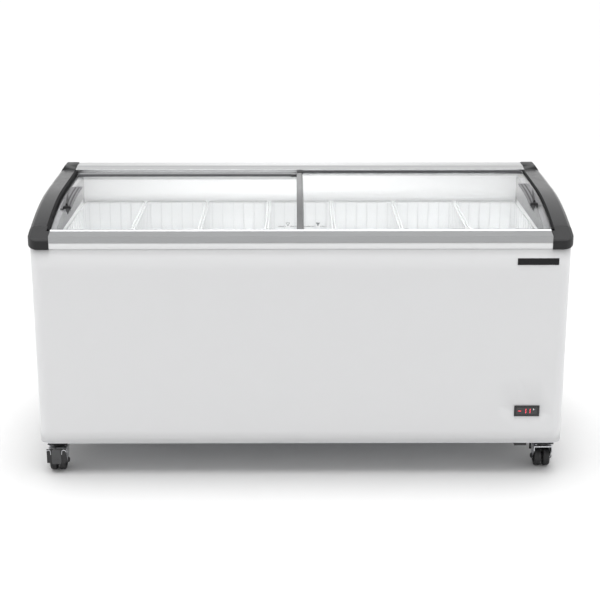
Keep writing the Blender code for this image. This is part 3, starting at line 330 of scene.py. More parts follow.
def four_corners(across, along, radii):
    """Corners of a rectangle for rounded(): one radius at the first end of along, one at the last."""
    return [
        (across[0], along[0], radii[0]), (across[1], along[0], radii[0]),
        (across[1], along[1], radii[1]), (across[0], along[1], radii[1]),
    ]


def loft(form, rings, closed=False):
    """Joins rings of equal length into a skin, capped at both ends unless it is closed on itself."""
    grown = [[form.verts.new(point) for point in ring] for ring in rings]
    pairs = list(zip(grown, grown[1:]))
    if closed:
        pairs.append((grown[-1], grown[0]))
    for low, high in pairs:
        for i in range(len(low)):
            j = (i + 1) % len(low)
            form.faces.new((low[i], low[j], high[j], high[i]))
    if not closed:
        form.faces.new(grown[0][::-1])
        form.faces.new(grown[-1])


def along_x(form, outline, stations):
    """A section of (y, z) points carried along X."""
    loft(form, [[(x, y, z) for y, z in outline] for x in stations])


def along_top(form, section, start, end, count=44):
    """A section of (x, drop below the curved top) points carried back along the top."""
    loft(form, [on_top(section, depth) for depth in spread(start, end, count)])


def tube(form, path, radius, sides=8, closed=False):
    """A round wire along a path."""
    points = [Vector(point) for point in path]
    count = len(points)
    side = None
    rings = []
    for i, point in enumerate(points):
        if closed:
            heading = points[(i + 1) % count] - points[i - 1]
        else:
            heading = points[min(i + 1, count - 1)] - points[max(i - 1, 0)]
        heading.normalize()
        if side is None:
            side = heading.orthogonal().normalized()
        side = (side - heading * side.dot(heading)).normalized()
        other = heading.cross(side)
        ring = []
        for k in range(sides):
            angle = math.tau * k / sides
            ring.append(point + (side * math.cos(angle) + other * math.sin(angle)) * radius)
        rings.append(ring)
    loft(form, rings, closed)


def lathe(form, profile, steps, placement):
    """A closed profile of (radius, height) turned about its own Z and then placed."""
    rings = []
    for step in range(steps):
        angle = math.tau * step / steps
        ring = []
        for radius, height in profile:
            ring.append(placement @ Vector((radius * math.cos(angle), radius * math.sin(angle), height)))
        rings.append(ring)
    loft(form, rings, closed=True)
    bmesh.ops.remove_doubles(form, verts=form.verts, dist=0.000002)


def standing(place, axis):
    """Placement whose Z points along an axis."""
    turn = Vector((0, 0, 1)).rotation_difference(Vector(axis))
    return Matrix.Translation(place) @ turn.to_matrix().to_4x4()


def round_off(form, edges, width, segments, **options):
    bmesh.ops.bevel(form, geom=edges, offset=width, segments=segments, affect="EDGES", **options)


def block(form, low, high, bevel=0.0, segments=2, turn=None):
    """A box between two corners with its edges rounded."""
    made = bmesh.ops.create_cube(form, size=1)["verts"]
    size = [b - a for a, b in zip(low, high)]
    centre = Vector([(a + b) / 2 for a, b in zip(low, high)])
    bmesh.ops.scale(form, vec=size, verts=made)
    if turn is not None:
        bmesh.ops.transform(form, matrix=turn, verts=made)
    bmesh.ops.translate(form, vec=centre, verts=made)
    if bevel:
        edges = list({edge for vertex in made for edge in vertex.link_edges})
        round_off(form, edges, bevel, segments, profile=0.5)


def screw_head(form, place, axis, radius):
    """Pan head with a round driver recess."""
    height = radius * 0.62
    profile = [
        (0.0, height * 0.45), (radius * 0.34, height * 0.45), (radius * 0.40, height),
        (radius * 0.72, height * 0.94), (radius * 0.94, height * 0.62), (radius, height * 0.15),
        (radius, 0.0), (0.0, 0.0),
    ]
    lathe(form, profile, 16, standing(place, axis))


def hex_heads(form, places, axis, radius, height):
    """Six-sided heads in a form of their own, their edges eased."""
    for place in places:
        placement = standing(place, axis) @ Matrix.Translation((0, 0, height / 2))
        bmesh.ops.create_cone(
            form, cap_ends=True, segments=6, radius1=radius, radius2=radius * 0.97, depth=height,
            matrix=placement,
        )
    round_off(form, form.edges[:], radius * 0.08, 1)


def refined(node, bevel, material, body="cabinet", segments=2, sharp=30.0, thinnest=0.0025):
    """A copy of a CAD node's solid with clean faces and rounded edges, standing for the node."""
    form = bmesh.new()
    form.from_mesh(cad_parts[node].data)
    bmesh.ops.remove_doubles(form, verts=form.verts, dist=0.00001)
    flat = math.radians(1.0)
    bmesh.ops.dissolve_limit(form, angle_limit=flat, verts=form.verts, edges=form.edges)

    def width(face):
        longest = max(edge.calc_length() for edge in face.edges)
        return face.calc_area() / longest

    edges = []
    for edge in form.edges:
        if len(edge.link_faces) != 2 or edge.calc_face_angle(0.0) < math.radians(sharp):
            continue
        if min(width(face) for face in edge.link_faces) > thinnest:
            edges.append(edge)
    if edges and bevel:
        round_off(form, edges, bevel, segments, profile=0.5, clamp_overlap=True)
    add_piece(f"{node}_shell", form, material, body, (node,))


def dress(node, material):
    """A CAD node that keeps its shape gets its finish."""
    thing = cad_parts[node]
    thing.data.materials.clear()
    thing.data.materials.append(material)


# --- Cabinet ---

CORNER_RADIUS = 0.035
PANEL_DROP = 0.0291  # how far the panel's top edge lies below the curved top
LOUVRE_LAP = 0.006  # how far the louvre's frame covers the edge of its opening
DISPLAY_LAP = 0.002
SILL_FALL = 0.0035  # how far the sill's top edge falls back from its roundest place
SEAL_OVERLAP = {"left": 0.0025, "right": 0.0}  # how far a seal reaches over its side strip


def wrap_stations():
    """Places round the front and sides, from the right rear corner to the left rear one."""
    low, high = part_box("cabinet_wrap")
    grille_low, grille_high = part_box("side_grille")
    display_low, display_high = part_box("display_housing")
    front, rear = low.y, high.y
    half = high.x
    corner_end = front + CORNER_RADIUS
    sides = spread(rear, corner_end, 40)
    for opening in (grille_low.y + LOUVRE_LAP, grille_high.y - LOUVRE_LAP):
        nearest = min(range(len(sides)), key=lambda i: abs(sides[i] - opening))
        sides[nearest] = opening
    points = [(half, y) for y in sides]
    arc = []
    for step in range(1, 17):
        angle = math.pi / 2 * step / 16
        x = half - CORNER_RADIUS + CORNER_RADIUS * math.cos(angle)
        arc.append((x, corner_end - CORNER_RADIUS * math.sin(angle)))
    points += arc
    points += [(display_high.x - DISPLAY_LAP, front), (display_low.x + DISPLAY_LAP, front)]
    points += [(x, front) for x in spread(0.60, -0.60, 9)]
    points += [(-x, y) for x, y in arc[::-1]]
    points += [(-half, y) for y in sides[::-1]]
    return points


def make_wrap():
    """Painted sheet round three sides, open where the display and the louvre sit."""
    low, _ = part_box("cabinet_wrap")
    grille_low, grille_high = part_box("side_grille")
    display_low, display_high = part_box("display_housing")
    levels = [
        low.z, grille_low.z + LOUVRE_LAP,
        display_low.z + DISPLAY_LAP, display_high.z - DISPLAY_LAP, grille_high.z - LOUVRE_LAP,
    ]
    levels += spread(0.40, 0.66, 4)
    form = bmesh.new()
    columns = []
    for x, y in wrap_stations():
        top = top_height(y - cad_low.y) - PANEL_DROP
        columns.append([form.verts.new((x, y, z)) for z in levels + [top]])

    def opened(middle):
        in_grille = (
            middle.x > 0.80
            and grille_low.y + 0.005 < middle.y < grille_high.y - 0.005
            and grille_low.z + 0.005 < middle.z < grille_high.z - 0.005
        )
        in_display = (
            middle.y < cad_low.y + 0.02
            and display_low.x < middle.x < display_high.x
            and display_low.z < middle.z < display_high.z
        )
        return in_grille or in_display

    for first, second in zip(columns, columns[1:]):
        for j in range(len(first) - 1):
            corners = (first[j], second[j], second[j + 1], first[j + 1])
            middle = sum((vertex.co for vertex in corners), Vector()) / 4
            if not opened(middle):
                form.faces.new(corners)
    piece = add_piece("cabinet_panel", form, PAINT, replaces=("cabinet_wrap",))
    thick = piece.modifiers.new("sheet", "SOLIDIFY")
    thick.thickness = SHEET
    thick.offset = -1.0
    outside = piece.data.polygons[0]
    if outside.normal.x < 0:
        piece.data.flip_normals()


def make_front_sill():
    """Softly rounded white band under the front rail."""
    low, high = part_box("front_sill")
    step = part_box("cabinet_wrap")[0].y - low.y
    outline = [(high.y, low.z), (high.y, high.z)]
    middle, reach = (low.z + high.z) / 2, (high.z - low.z) / 2
    for angle in spread(0.0, math.pi, 21):
        fall_back = SILL_FALL if math.cos(angle) > 0 else step
        y = low.y + fall_back * (1 - math.sin(angle) ** 0.8)
        outline.append((y, middle + reach * math.cos(angle)))
    form = bmesh.new()
    along_x(form, outline, spread(low.x, high.x, 9))
    add_piece("front_sill_band", form, MOULDING, replaces=("front_sill",), sharp=50)


def make_front_rail():
    """Aluminium extrusion: an upright face, a slope and a raised lip, with ledges behind it."""
    low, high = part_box("front_rail")
    lip = high.z
    corners = [
        (low.y, low.z, 0.0003), (low.y, 0.7665, 0.0), (at(0.0350), 0.7742, 0.0008),
        (at(0.0385), lip, 0.0009), (at(0.0458), lip, 0.0009), (at(0.0460), 0.7650, 0.0),
        (at(0.0462), 0.7585, 0.0), (at(0.0540), 0.7585, 0.0), (at(0.0542), 0.7520, 0.0),
        (high.y, 0.7520, 0.0), (high.y, low.z, 0.0),
    ]
    form = bmesh.new()
    along_x(form, rounded(corners, 5), spread(low.x, high.x, 9))
    # The rail's darker aluminium is a painted reflection of dark surroundings
    add_piece("front_rail_section", form, RAIL, replaces=("front_rail",), sharp=50)


def grooved(start, end, height, grooves, width, deep):
    """Points along a flat face with shallow grooves."""
    points = [(start, height, 0.0)]
    for place in grooves:
        middle = start + (end - start) * place
        points += [
            (middle - width / 2, height, 0.0), (middle - width / 4, height - deep, 0.0),
            (middle + width / 4, height - deep, 0.0), (middle + width / 2, height, 0.0),
        ]
    points.append((end, height, 0.0))
    return points


def make_rear_rail():
    """Wide aluminium extrusion along the back, grooved on top."""
    low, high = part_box("rear_rail")
    front = at(0.5842)
    corners = [
        (front - 0.0095, 0.8240, 0.0), (front - 0.0095, 0.8270, 0.0), (front, 0.8270, 0.0),
        (front, 0.8412, 0.0004), (at(0.6080), 0.8455, 0.0060),
    ]
    corners += grooved(at(0.6160), at(0.6600), high.z - 0.0002, (0.22, 0.30, 0.78), 0.0018, 0.0007)
    corners += [
        (high.y - 0.0005, high.z - 0.0002, 0.0040), (high.y, low.z, 0.0), (high.y - 0.0095, low.z, 0.0),
        (high.y - 0.0095, 0.8200, 0.0), (low.y, 0.8200, 0.0),
    ]
    form = bmesh.new()
    along_x(form, rounded(corners, 4), spread(low.x, high.x, 9))
    add_piece("rear_rail_section", form, BRUSHED, replaces=("rear_rail",), sharp=40)


def make_side_trims():
    """Curved plastic strips with rounded shoulders, the black seals inside them and ledges below, darkened
    as painted shade.
    """
    edge, outer = HALF_LENGTH - 0.053, HALF_LENGTH
    drop = 0.029
    for word, side in SIDES:
        inner = edge + SEAL_OVERLAP[word]
        corners = [
            (side * (inner + 0.0002), 0.0006, 0.0012), (side * (edge + 0.024), -0.0002, 0.0),
            (side * (outer - 0.0095), 0.0004, 0.0040), (side * (outer - 0.0002), 0.0068, 0.0030),
            (side * outer, drop, 0.0008), (side * (inner + 0.0002), drop, 0.0008),
        ]
        trim = f"side_trim_{word}"
        low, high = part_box(trim)
        start, end = low.y - cad_low.y, high.y - cad_low.y
        form = bmesh.new()
        along_top(form, rounded(corners, 4), start, end)
        add_piece(f"{trim}_strip", form, TRIM, replaces=(trim,))
        ledge = [
            (side * 0.7330, 0.0205), (side * 0.7330, 0.0235), (side * inner, 0.0235),
            (side * inner, 0.0205),
        ]
        form = bmesh.new()
        along_top(form, ledge, start, 0.5650)
        add_piece(f"side_ledge_{word}", form, LEDGE)
        seal = [
            (side * inner, 0.0009, 0.0010), (side * (edge - 0.0060), 0.0009, 0.0026),
            (side * (edge - 0.0072), 0.0120, 0.0010), (side * (edge - 0.0060), 0.0202, 0.0),
            (side * inner, 0.0202, 0.0),
        ]
        form = bmesh.new()
        along_top(form, rounded(seal, 4), 0.0560, 0.5800)
        add_piece(f"side_seal_{word}", form, SEAL)


def make_corner_caps():
    """Moulded caps at the four top corners."""
    for word, _ in SIDES:
        refined(f"front_corner_{word}", 0.0016, CAP, segments=3, sharp=20)
        refined(f"rear_corner_{word}", 0.0016, CAP, segments=3, sharp=50)


# Inner side panels, their dark tone painted shade from the trims above
def make_inner_panels():
    for word, _ in SIDES:
        refined(f"inner_panel_{word}", 0.0006, PANEL, thinnest=0.001)


def make_liner():
    refined("inner_liner", 0.0040, LINER, segments=3, thinnest=0.0030)


def make_load_line():
    """Printed load line on the liner's rear wall with two small triangles standing on their tips."""
    wall = at(0.6045 - 0.010 - SHEET)
    height = 0.640
    front, back = wall - 0.0002, wall - 0.00002

    def flat(form, outline):
        loft(form, [[(x, y, z) for x, z in outline] for y in (front, back)])

    form = bmesh.new()
    for low, high in ((-0.075, -0.050), (-0.034, 0.053), (0.069, 0.092)):
        flat(form, [(low, height), (high, height), (high, height + 0.0018), (low, height + 0.0018)])
    for centre, hollow in ((-0.042, True), (0.061, False)):
        outer = [
            (centre - 0.0075, height + 0.014),
            (centre, height + 0.001),
            (centre + 0.0075, height + 0.014),
        ]
        if not hollow:
            flat(form, outer)
            continue
        middle = Vector((centre, height + 0.0097))
        inner = [tuple(middle + (Vector(point) - middle) * 0.60) for point in outer]
        edges = ((outer, front), (inner, front), (inner, back), (outer, back))
        rings = [[(x, y, z) for x, z in edge] for edge, y in edges]
        loft(form, rings, closed=True)
    add_piece("load_line_print", form, PRINT)


def make_rear_details():
    """Screws round the rear panel and the gland for a supply cord."""
    low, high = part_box("rear_panel")
    form = bmesh.new()
    places = [(x, z) for x in spread(low.x + 0.030, high.x - 0.030, 7) for z in (low.z + 0.014, 0.775)]
    places += [(x, z) for x in (low.x + 0.012, high.x - 0.012) for z in spread(0.25, 0.65, 3)]
    for x, z in places:
        screw_head(form, (x, high.y + 0.0001, z), (0, 1, 0), 0.0042)
    add_piece("rear_screws", form, PLATED)
    dress("rear_panel", GALVANISED)
    refined("cord_inlet", 0.0006, BLACK, segments=1, thinnest=0.001)


def make_base():
    """Bottom pan, the channels that carry the casters and a small stop under the front edge."""
    dress("bottom_pan", GALVANISED)
    for word, _ in SIDES:
        refined(f"base_rail_{word}", 0.0008, POWDER, thinnest=0.0026)
    form = bmesh.new()
    block(form, (0.6600, at(0.0180), 0.0905), (0.6980, at(0.0320), 0.1055), 0.0012)
    add_piece("base_stop", form, BLACK)


def make_grille():
    """Framed louvre: the plate with its slots, a tilted blade behind each slot, and four screws."""
    low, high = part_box("side_grille")
    refined("side_grille", 0.0006, MOULDING, thinnest=0.0018)
    slots = 9
    pitch = (high.z - low.z - 0.024) / slots
    form = bmesh.new()
    tilt = Matrix.Rotation(math.radians(-38), 4, "Y")
    face = high.x - 0.0090
    for i in range(slots):
        middle = low.z + 0.012 + pitch * (i + 0.62)
        first = (face - 0.0070, low.y + 0.012, middle - 0.0006)
        last = (face + 0.0050, high.y - 0.012, middle + 0.0006)
        block(form, first, last, 0.0003, 1, tilt)
    add_piece("grille_blades", form, MOULDING)
    form = bmesh.new()
    for y in (low.y + 0.007, high.y - 0.007):
        for z in (low.z + 0.007, high.z - 0.007):
            screw_head(form, (high.x - 0.0008, y, z), (1, 0, 0), 0.0030)
    add_piece("grille_screws", form, PLATED)


# --- Display and badge ---


def leaning(points, place, lean, thick):
    """Outline points (u, v) set on the display's face, leaning like a lit digit, as two rings."""
    x, y, z = place
    return [[(x + u + v * lean, depth, z + v) for u, v in points] for depth in (y - thick, y)]


def make_display():
    """Controller: bezel, glossy lens and the lit figures minus eleven degrees."""
    refined("display_housing", 0.0005, BLACK, thinnest=0.0012)
    refined("display_lens", 0.0002, GLOSS, thinnest=0.0004)
    low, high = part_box("display_lens")
    centre = (low + high) / 2
    face = low.y + 0.00005
    thick = 0.0001
    lean = 0.12
    bar = 0.0016

    def segment(form, x, z, length, upright):
        across, along = (bar / 2, length / 2)
        tip = along - across
        outline = [(-along, 0), (-tip, across), (tip, across), (along, 0), (tip, -across), (-tip, -across)]
        if upright:
            outline = [(v, u) for u, v in outline]
        loft(form, leaning(outline, (centre.x + x, face, centre.z + z), lean, thick))

    form = bmesh.new()
    segment(form, -0.0220, 0.0, 0.0090, False)
    for x in (-0.0030, 0.0100):
        for z in (-0.0038, 0.0038):
            segment(form, x, z, 0.0070, True)
    add_piece("display_figures", form, RED_SEGMENT)
    form = bmesh.new()
    rings = []
    for radius, depth in ((0.0020, face - thick), (0.0011, face - thick), (0.0011, face), (0.0020, face)):
        ring = []
        for step in range(20):
            angle = math.tau * step / 20
            x = centre.x + 0.0205 + radius * math.cos(angle)
            z = centre.z + 0.0052 + radius * math.sin(angle)
            ring.append((x, depth, z))
        rings.append(ring)
    loft(form, rings, closed=True)
    add_piece("display_degree_mark", form, WHITE_SEGMENT)


def make_badge():
    """Blank plate with a fine raised border."""
    refined("name_plate", 0.0004, PLATE, thinnest=0.0010)
    low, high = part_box("name_plate")
    form = bmesh.new()
    centre = (low + high) / 2
    rings = []
    for inset, depth in ((0.0010, 0.0), (0.0010, 0.0003), (0.0016, 0.0003), (0.0016, 0.0)):
        half_x, half_z = (high.x - low.x) / 2 - inset, (high.z - low.z) / 2 - inset
        corners = four_corners((-half_x, half_x), (-half_z, half_z), (0.001, 0.001))
        ring = [(centre.x + u, low.y + 0.00005 - depth, centre.z + v) for u, v in rounded(corners, 4)]
        rings.append(ring)
    loft(form, rings, closed=True)
    add_piece("name_plate_border", form, GLOSS)


# --- Sliding lids ---


PANE_THICKNESS = 0.004
PANE_INSET = 0.012  # how far the pane and the meeting bar stop short of the lid's front and rear ends
EDGE_WIDTH = 0.0117
HANDLE_GROOVES = (0.0085, 0.0190)
# How far from the pane's inner end the black corner block starts and stops
CORNER_BLOCKS = {"left_lid": (-0.0020, 0.0225), "right_lid": (-0.0180, 0.0020)}


def make_lid(lid, side, top, span):
    """Curved pane with its edge sections, seals, meeting bar and handle."""
    edge = 0.007
    glass_low, glass_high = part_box(f"{lid}_glass")
    outer = side * max(abs(glass_low.x), abs(glass_high.x))
    inner = glass_low.x if side > 0 else glass_high.x
    start, end = span
    glass_drop = top + 0.0015

    def below(depth, drop, radius):
        """A corner this far below the lid's own top at this depth."""
        return at(depth), top_height(depth) - top - drop, radius

    section = four_corners(
        (glass_low.x, glass_high.x), (glass_drop, glass_drop + PANE_THICKNESS), (0.0012, 0.0012)
    )
    form = bmesh.new()
    along_top(form, rounded(section, 3), start + PANE_INSET, end - PANE_INSET, 60)
    pane = add_piece(f"{lid}_pane", form, GLASS, lid, (f"{lid}_glass",), 50)
    pane.visible_shadow = False

    for label, first, last, material, slot in (
        ("front", start, start + EDGE_WIDTH, TRIM, "dark_grey_plastic"),
        ("rear", end - EDGE_WIDTH, end, BRUSHED, "brushed_aluminium"),
    ):
        low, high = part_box(f"{lid}_{label}_edge")
        corners = [below(first, 0, 0.0014), below(last, 0, 0.0014)]
        corners += [below(last, edge, 0.0008), below(first, edge, 0.0008)]
        form = bmesh.new()
        along_x(form, rounded(corners, 4), spread(low.x, high.x, 5))
        add_piece(f"{lid}_{label}_section", form, material, lid, (f"{lid}_{label}_edge",))

    form = bmesh.new()
    low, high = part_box(f"{lid}_rear_edge")
    for first, last, raised, depth in (
        (end - 0.0130, end - 0.0112, 0.0008, 0.0024),
        (end - 0.0014, end - 0.0002, 0.0018, 0.0030),
    ):
        corners = [below(first, -raised, 0.0005), below(last, -raised, 0.0005)]
        corners += [below(last, depth, 0.0), below(first, depth, 0.0)]
        along_x(form, rounded(corners, 3), spread(low.x + 0.001, high.x - 0.001, 5))
    add_piece(f"{lid}_rear_seals", form, BUNG, lid)

    low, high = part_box(f"{lid}_meeting_bar")
    section = four_corners((low.x, high.x), (top, top + edge), (0.0020, 0.0006))
    form = bmesh.new()
    along_top(form, rounded(section, 4), start + PANE_INSET, end - PANE_INSET)
    # The bar's darker aluminium is painted shade
    add_piece(f"{lid}_meeting_section", form, BAR, lid, (f"{lid}_meeting_bar",))

    form = bmesh.new()
    near, far = [inner + side * reach for reach in CORNER_BLOCKS[lid]]
    block(
        form,
        (min(near, far), at(end - 0.0150), top_height(end) - top - edge - 0.0002),
        (max(near, far), at(end + 0.0002), top_height(end) - top + 0.0014),
        0.0010,
    )
    far = outer - side * 0.0160
    block(
        form,
        (min(far, outer), at(end - 0.0190), top_height(end) - top - edge - 0.0030),
        (max(far, outer), at(end - 0.0020), top_height(end) - top - edge + 0.0010),
        0.0010,
    )
    add_piece(f"{lid}_corner_block", form, BLACK, lid)
    make_handle(lid, side, glass_drop)


def make_handle(lid, side, glass_drop):
    """Ribbed grip on the pane; a slanting fin grows along it to a cross bar and a nose at the front."""
    low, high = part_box(f"{lid}_handle")
    inner = min(abs(low.x), abs(high.x))
    plate_start, plate_end = 0.1995, high.y - cad_low.y

    def section(corners):
        return [(side * across, glass_drop - height) for across, height in corners]

    ribs = [(inner + 0.0004, 0.0003), (inner + 0.0012, 0.0026)]
    for groove in HANDLE_GROOVES:
        ribs += [
            (inner + groove - 0.0024, 0.0031), (inner + groove - 0.0016, 0.0012),
            (inner + groove + 0.0016, 0.0012), (inner + groove + 0.0024, 0.0031),
        ]
    ribs += [
        (inner + 0.0262, 0.0026), (inner + 0.0272, 0.0014), (inner + 0.0352, 0.0010),
        (inner + 0.0354, 0.0003),
    ]
    form = bmesh.new()
    along_top(form, section(ribs), plate_start, plate_end, 30)
    add_piece(f"{lid}_handle_grip", form, GRIP, lid, (f"{lid}_handle",), 30)

    # Black strips at the bottoms of the grooves: painted shade in the grooves
    form = bmesh.new()
    for groove in HANDLE_GROOVES:
        inlay = [
            (inner + groove - 0.0015, 0.0010), (inner + groove - 0.0015, 0.0018),
            (inner + groove + 0.0015, 0.0018), (inner + groove + 0.0015, 0.0010),
        ]
        along_top(form, section(inlay), plate_start + 0.004, plate_end - 0.004, 24)
    add_piece(f"{lid}_handle_groove_shade", form, FIN_AND_GROOVE_SHADE, lid)

    form = bmesh.new()
    rings = []
    for share in spread(0.0, 1.0, 26):
        depth = plate_start + 0.0040 + 0.1390 * share
        middle = 0.7222 + 0.0193 * share
        half = 0.0046 * (1 - share) ** 1.2 + 0.0010
        tall = 0.0142 * (1 - share) ** 0.8 + 0.0024
        corners = [
            (side * (middle - half), glass_drop - 0.0010, 0.0),
            (side * (middle - half * 0.45), glass_drop - tall, half * 0.4),
            (side * (middle + half * 0.45), glass_drop - tall, half * 0.4),
            (side * (middle + half), glass_drop - 0.0010, 0.0),
        ]
        rings.append(on_top(rounded(corners, 3), depth))
    loft(form, rings)
    bar = [
        (0.7092, 0.0004, 0.0010), (0.7092, 0.0090, 0.0030), (0.7332, 0.0090, 0.0030),
        (0.7332, 0.0004, 0.0010),
    ]
    outline = rounded([(side * across, glass_drop - height, radius) for across, height, radius in bar], 4)
    along_top(form, outline, 0.1986, 0.2040, 3)
    rings = []
    for share in spread(0.0, 1.0, 12):
        depth = 0.2000 - 0.0368 * share
        middle, half = 0.7175 - 0.0050 * share, 0.0068 * (1 - share) + 0.0006
        tall = 0.0030 - 0.0014 * share
        nose = section([
            (middle - half, 0.0006), (middle - half * 0.6, tall), (middle + half * 0.6, tall),
            (middle + half, 0.0006),
        ])
        rings.append(on_top(nose, depth))
    loft(form, rings)
    add_piece(f"{lid}_handle_fin", form, FIN_AND_GROOVE_SHADE, lid, (), 40)


def make_lids():
    make_lid("left_lid", -1, 0.0125, (0.0545, 0.5750))
    make_lid("right_lid", 1, 0.0035, (0.0465, 0.5830))


# --- Baskets ---


def bent(points, radius, steps=4):
    """An open path in space with its inner corners rounded."""
    path = [Vector(points[0])]
    for before, corner, after in zip(points, points[1:], points[2:]):
        corner = Vector(corner)
        back, ahead = Vector(before) - corner, Vector(after) - corner
        reach = min(radius, back.length * 0.48, ahead.length * 0.48)
        start, end = corner + back.normalized() * reach, corner + ahead.normalized() * reach
        for share in spread(0.0, 1.0, steps + 1):
            path.append(start.lerp(corner, share).lerp(corner.lerp(end, share), share))
    path.append(Vector(points[-1]))
    return path


def hoop(half_x, front, rear, height, radius):
    """A closed rectangle with round corners at one height."""
    corners = four_corners((-half_x, half_x), (front, rear), (radius, radius))
    return [(x, y, height) for x, y in rounded(corners, 5)]


RIM_RADIUS, WIRE_RADIUS = 0.0022, 0.0012
RIM_HOOK = 0.0083  # how far the rim reaches over the ledges
BEND = 0.010
WIRES_ACROSS, WIRES_ALONG = 12, 6


def make_basket_mesh():
    """Wire basket about X = 0: a thick rim in the second material, darkened as painted shade, hoops and bent
    wires both ways.
    """
    low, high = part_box(f"basket_{(BASKET_COUNT + 1) // 2}")
    half = (high.x - low.x) / 2
    rim, wire = RIM_RADIUS, WIRE_RADIUS
    top, bottom = high.z, low.z
    form = bmesh.new()
    tube(form, hoop(half - rim, low.y + rim, high.y - rim, top - rim, 0.012), rim, 10, closed=True)
    for face in form.faces:
        face.material_index = 1
    front, rear = low.y + RIM_HOOK + 0.0021, high.y - RIM_HOOK - 0.0021
    for height, radius in ((top - 0.120, 0.0014), (bottom + 0.0060, 0.0018)):
        ring = hoop(half - 0.0075, front + 0.0030, rear - 0.0030, height, 0.012)
        tube(form, ring, radius, 8, closed=True)
    under = top - 0.0034
    for x in spread(-half + 0.014, half - 0.014, WIRES_ALONG):
        path = [
            (x, low.y + rim, under), (x, front, under), (x, front, bottom + wire),
            (x, rear, bottom + wire), (x, rear, under), (x, high.y - rim, under),
        ]
        tube(form, bent(path, BEND), wire)
    side, floor = half - 0.0045, bottom + 3 * wire
    for y in spread(front + 0.026, rear - 0.026, WIRES_ACROSS):
        path = [(-side, y, under), (-side, y, floor), (side, y, floor), (side, y, under)]
        tube(form, bent(path, BEND), wire)
    return form


def make_baskets():
    first = None
    for i in range(BASKET_COUNT):
        node = f"basket_{i + 1}"
        low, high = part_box(node)
        if first is None:
            piece = add_piece(f"{node}_wire", make_basket_mesh(), WIRE, node, (node,), 60)
            # The rim's second material is darker than the wire: painted shade
            piece.data.materials.append(RIM)
            first = piece
        else:
            piece = show(f"{node}_wire", first.data)
            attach(piece, node)
            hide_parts(node)
        piece.location.x = (low.x + high.x) / 2


# --- Casters ---


def make_wheels(label):
    """Twin wheels with rounded treads, a groove round each and recessed hubs."""
    node = f"caster_wheels_{label}"
    low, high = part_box(node)
    centre = (low + high) / 2
    outer, radius = (high.x - low.x) / 2, (high.z - low.z) / 2
    inner = 0.0037
    middle = (outer + inner) / 2
    profile = [
        (0.0045, outer - 0.0012), (0.0095, outer - 0.0012), (0.0110, outer - 0.0030),
        (0.0120, outer - 0.0046), (0.0200, outer - 0.0046), (0.0212, outer - 0.0030),
        (0.0220, outer - 0.0010), (0.0250, outer), (radius - 0.0022, outer - 0.0004),
        (radius - 0.0006, outer - 0.0022), (radius, outer - 0.0050), (radius, middle + 0.0010),
        (radius - 0.0007, middle + 0.0005), (radius - 0.0007, middle - 0.0005),
        (radius, middle - 0.0010), (radius, inner + 0.0050), (radius - 0.0006, inner + 0.0022),
        (radius - 0.0022, inner + 0.0004), (0.0250, inner), (0.0120, inner), (0.0110, 0.0010),
    ]
    profile += [(r, -h) for r, h in profile[::-1]]
    form = bmesh.new()
    lathe(form, profile, 56, standing(centre, (1, 0, 0)))
    add_piece(f"{node}_pair", form, TYRE, f"wheels_{label}", (node,), 32)


def make_fork(label):
    """Stamped fork with its king-pin nut, and on each side a black axle cover and a washer."""
    node = f"caster_fork_{label}"
    body = f"swivel_{label}"
    refined(node, 0.0009, PLATED, body, 3, thinnest=0.0015)
    wheel_low, wheel_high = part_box(f"caster_wheels_{label}")
    axle = (wheel_low + wheel_high) / 2
    plate_low, plate_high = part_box(f"caster_plate_{label}")
    swivel = (plate_low + plate_high) / 2
    fork_low, fork_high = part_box(node)
    leg = (fork_high.x - fork_low.x) / 2 - 0.002
    form = bmesh.new()
    cover = [
        (0.0, 0.0052), (0.0045, 0.0048), (0.0075, 0.0030), (0.0090, 0.0), (0.0043, 0.0),
        (0.0043, 0.0022), (0.0, 0.0022),
    ]
    washer = [(0.0098, 0.0), (0.0085, 0.0020), (0.0048, 0.0020), (0.0048, 0.0)]
    for side in (-1, 1):
        place = (axle.x + side * (leg + 0.0001), axle.y, axle.z)
        lathe(form, cover, 24, standing(place, (side, 0, 0)))
        place = (axle.x + side * (leg - 0.0023 - 0.0022), axle.y, axle.z)
        lathe(form, washer, 24, standing(place, (side, 0, 0)))
    add_piece(f"caster_axle_covers_{label}", form, BLACK, body)
    form = bmesh.new()
    hex_heads(form, [(swivel.x, swivel.y, fork_high.z - 0.0036)], (0, 0, -1), 0.0058, 0.0040)
    add_piece(f"caster_king_nut_{label}", form, PLATED, body)


def make_plate(label):
    """Top plate with its race and four bolts into the channel."""
    node = f"caster_plate_{label}"
    refined(node, 0.0008, POWDER, thinnest=0.0015)
    low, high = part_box(node)
    centre = (low + high) / 2
    form = bmesh.new()
    reach = (-0.0235, 0.0235)
    places = [(centre.x + x, centre.y + y, high.z - 0.0037) for x in reach for y in reach]
    hex_heads(form, places, (0, 0, -1), 0.0048, 0.0030)
    add_piece(f"caster_bolts_{label}", form, PLATED)


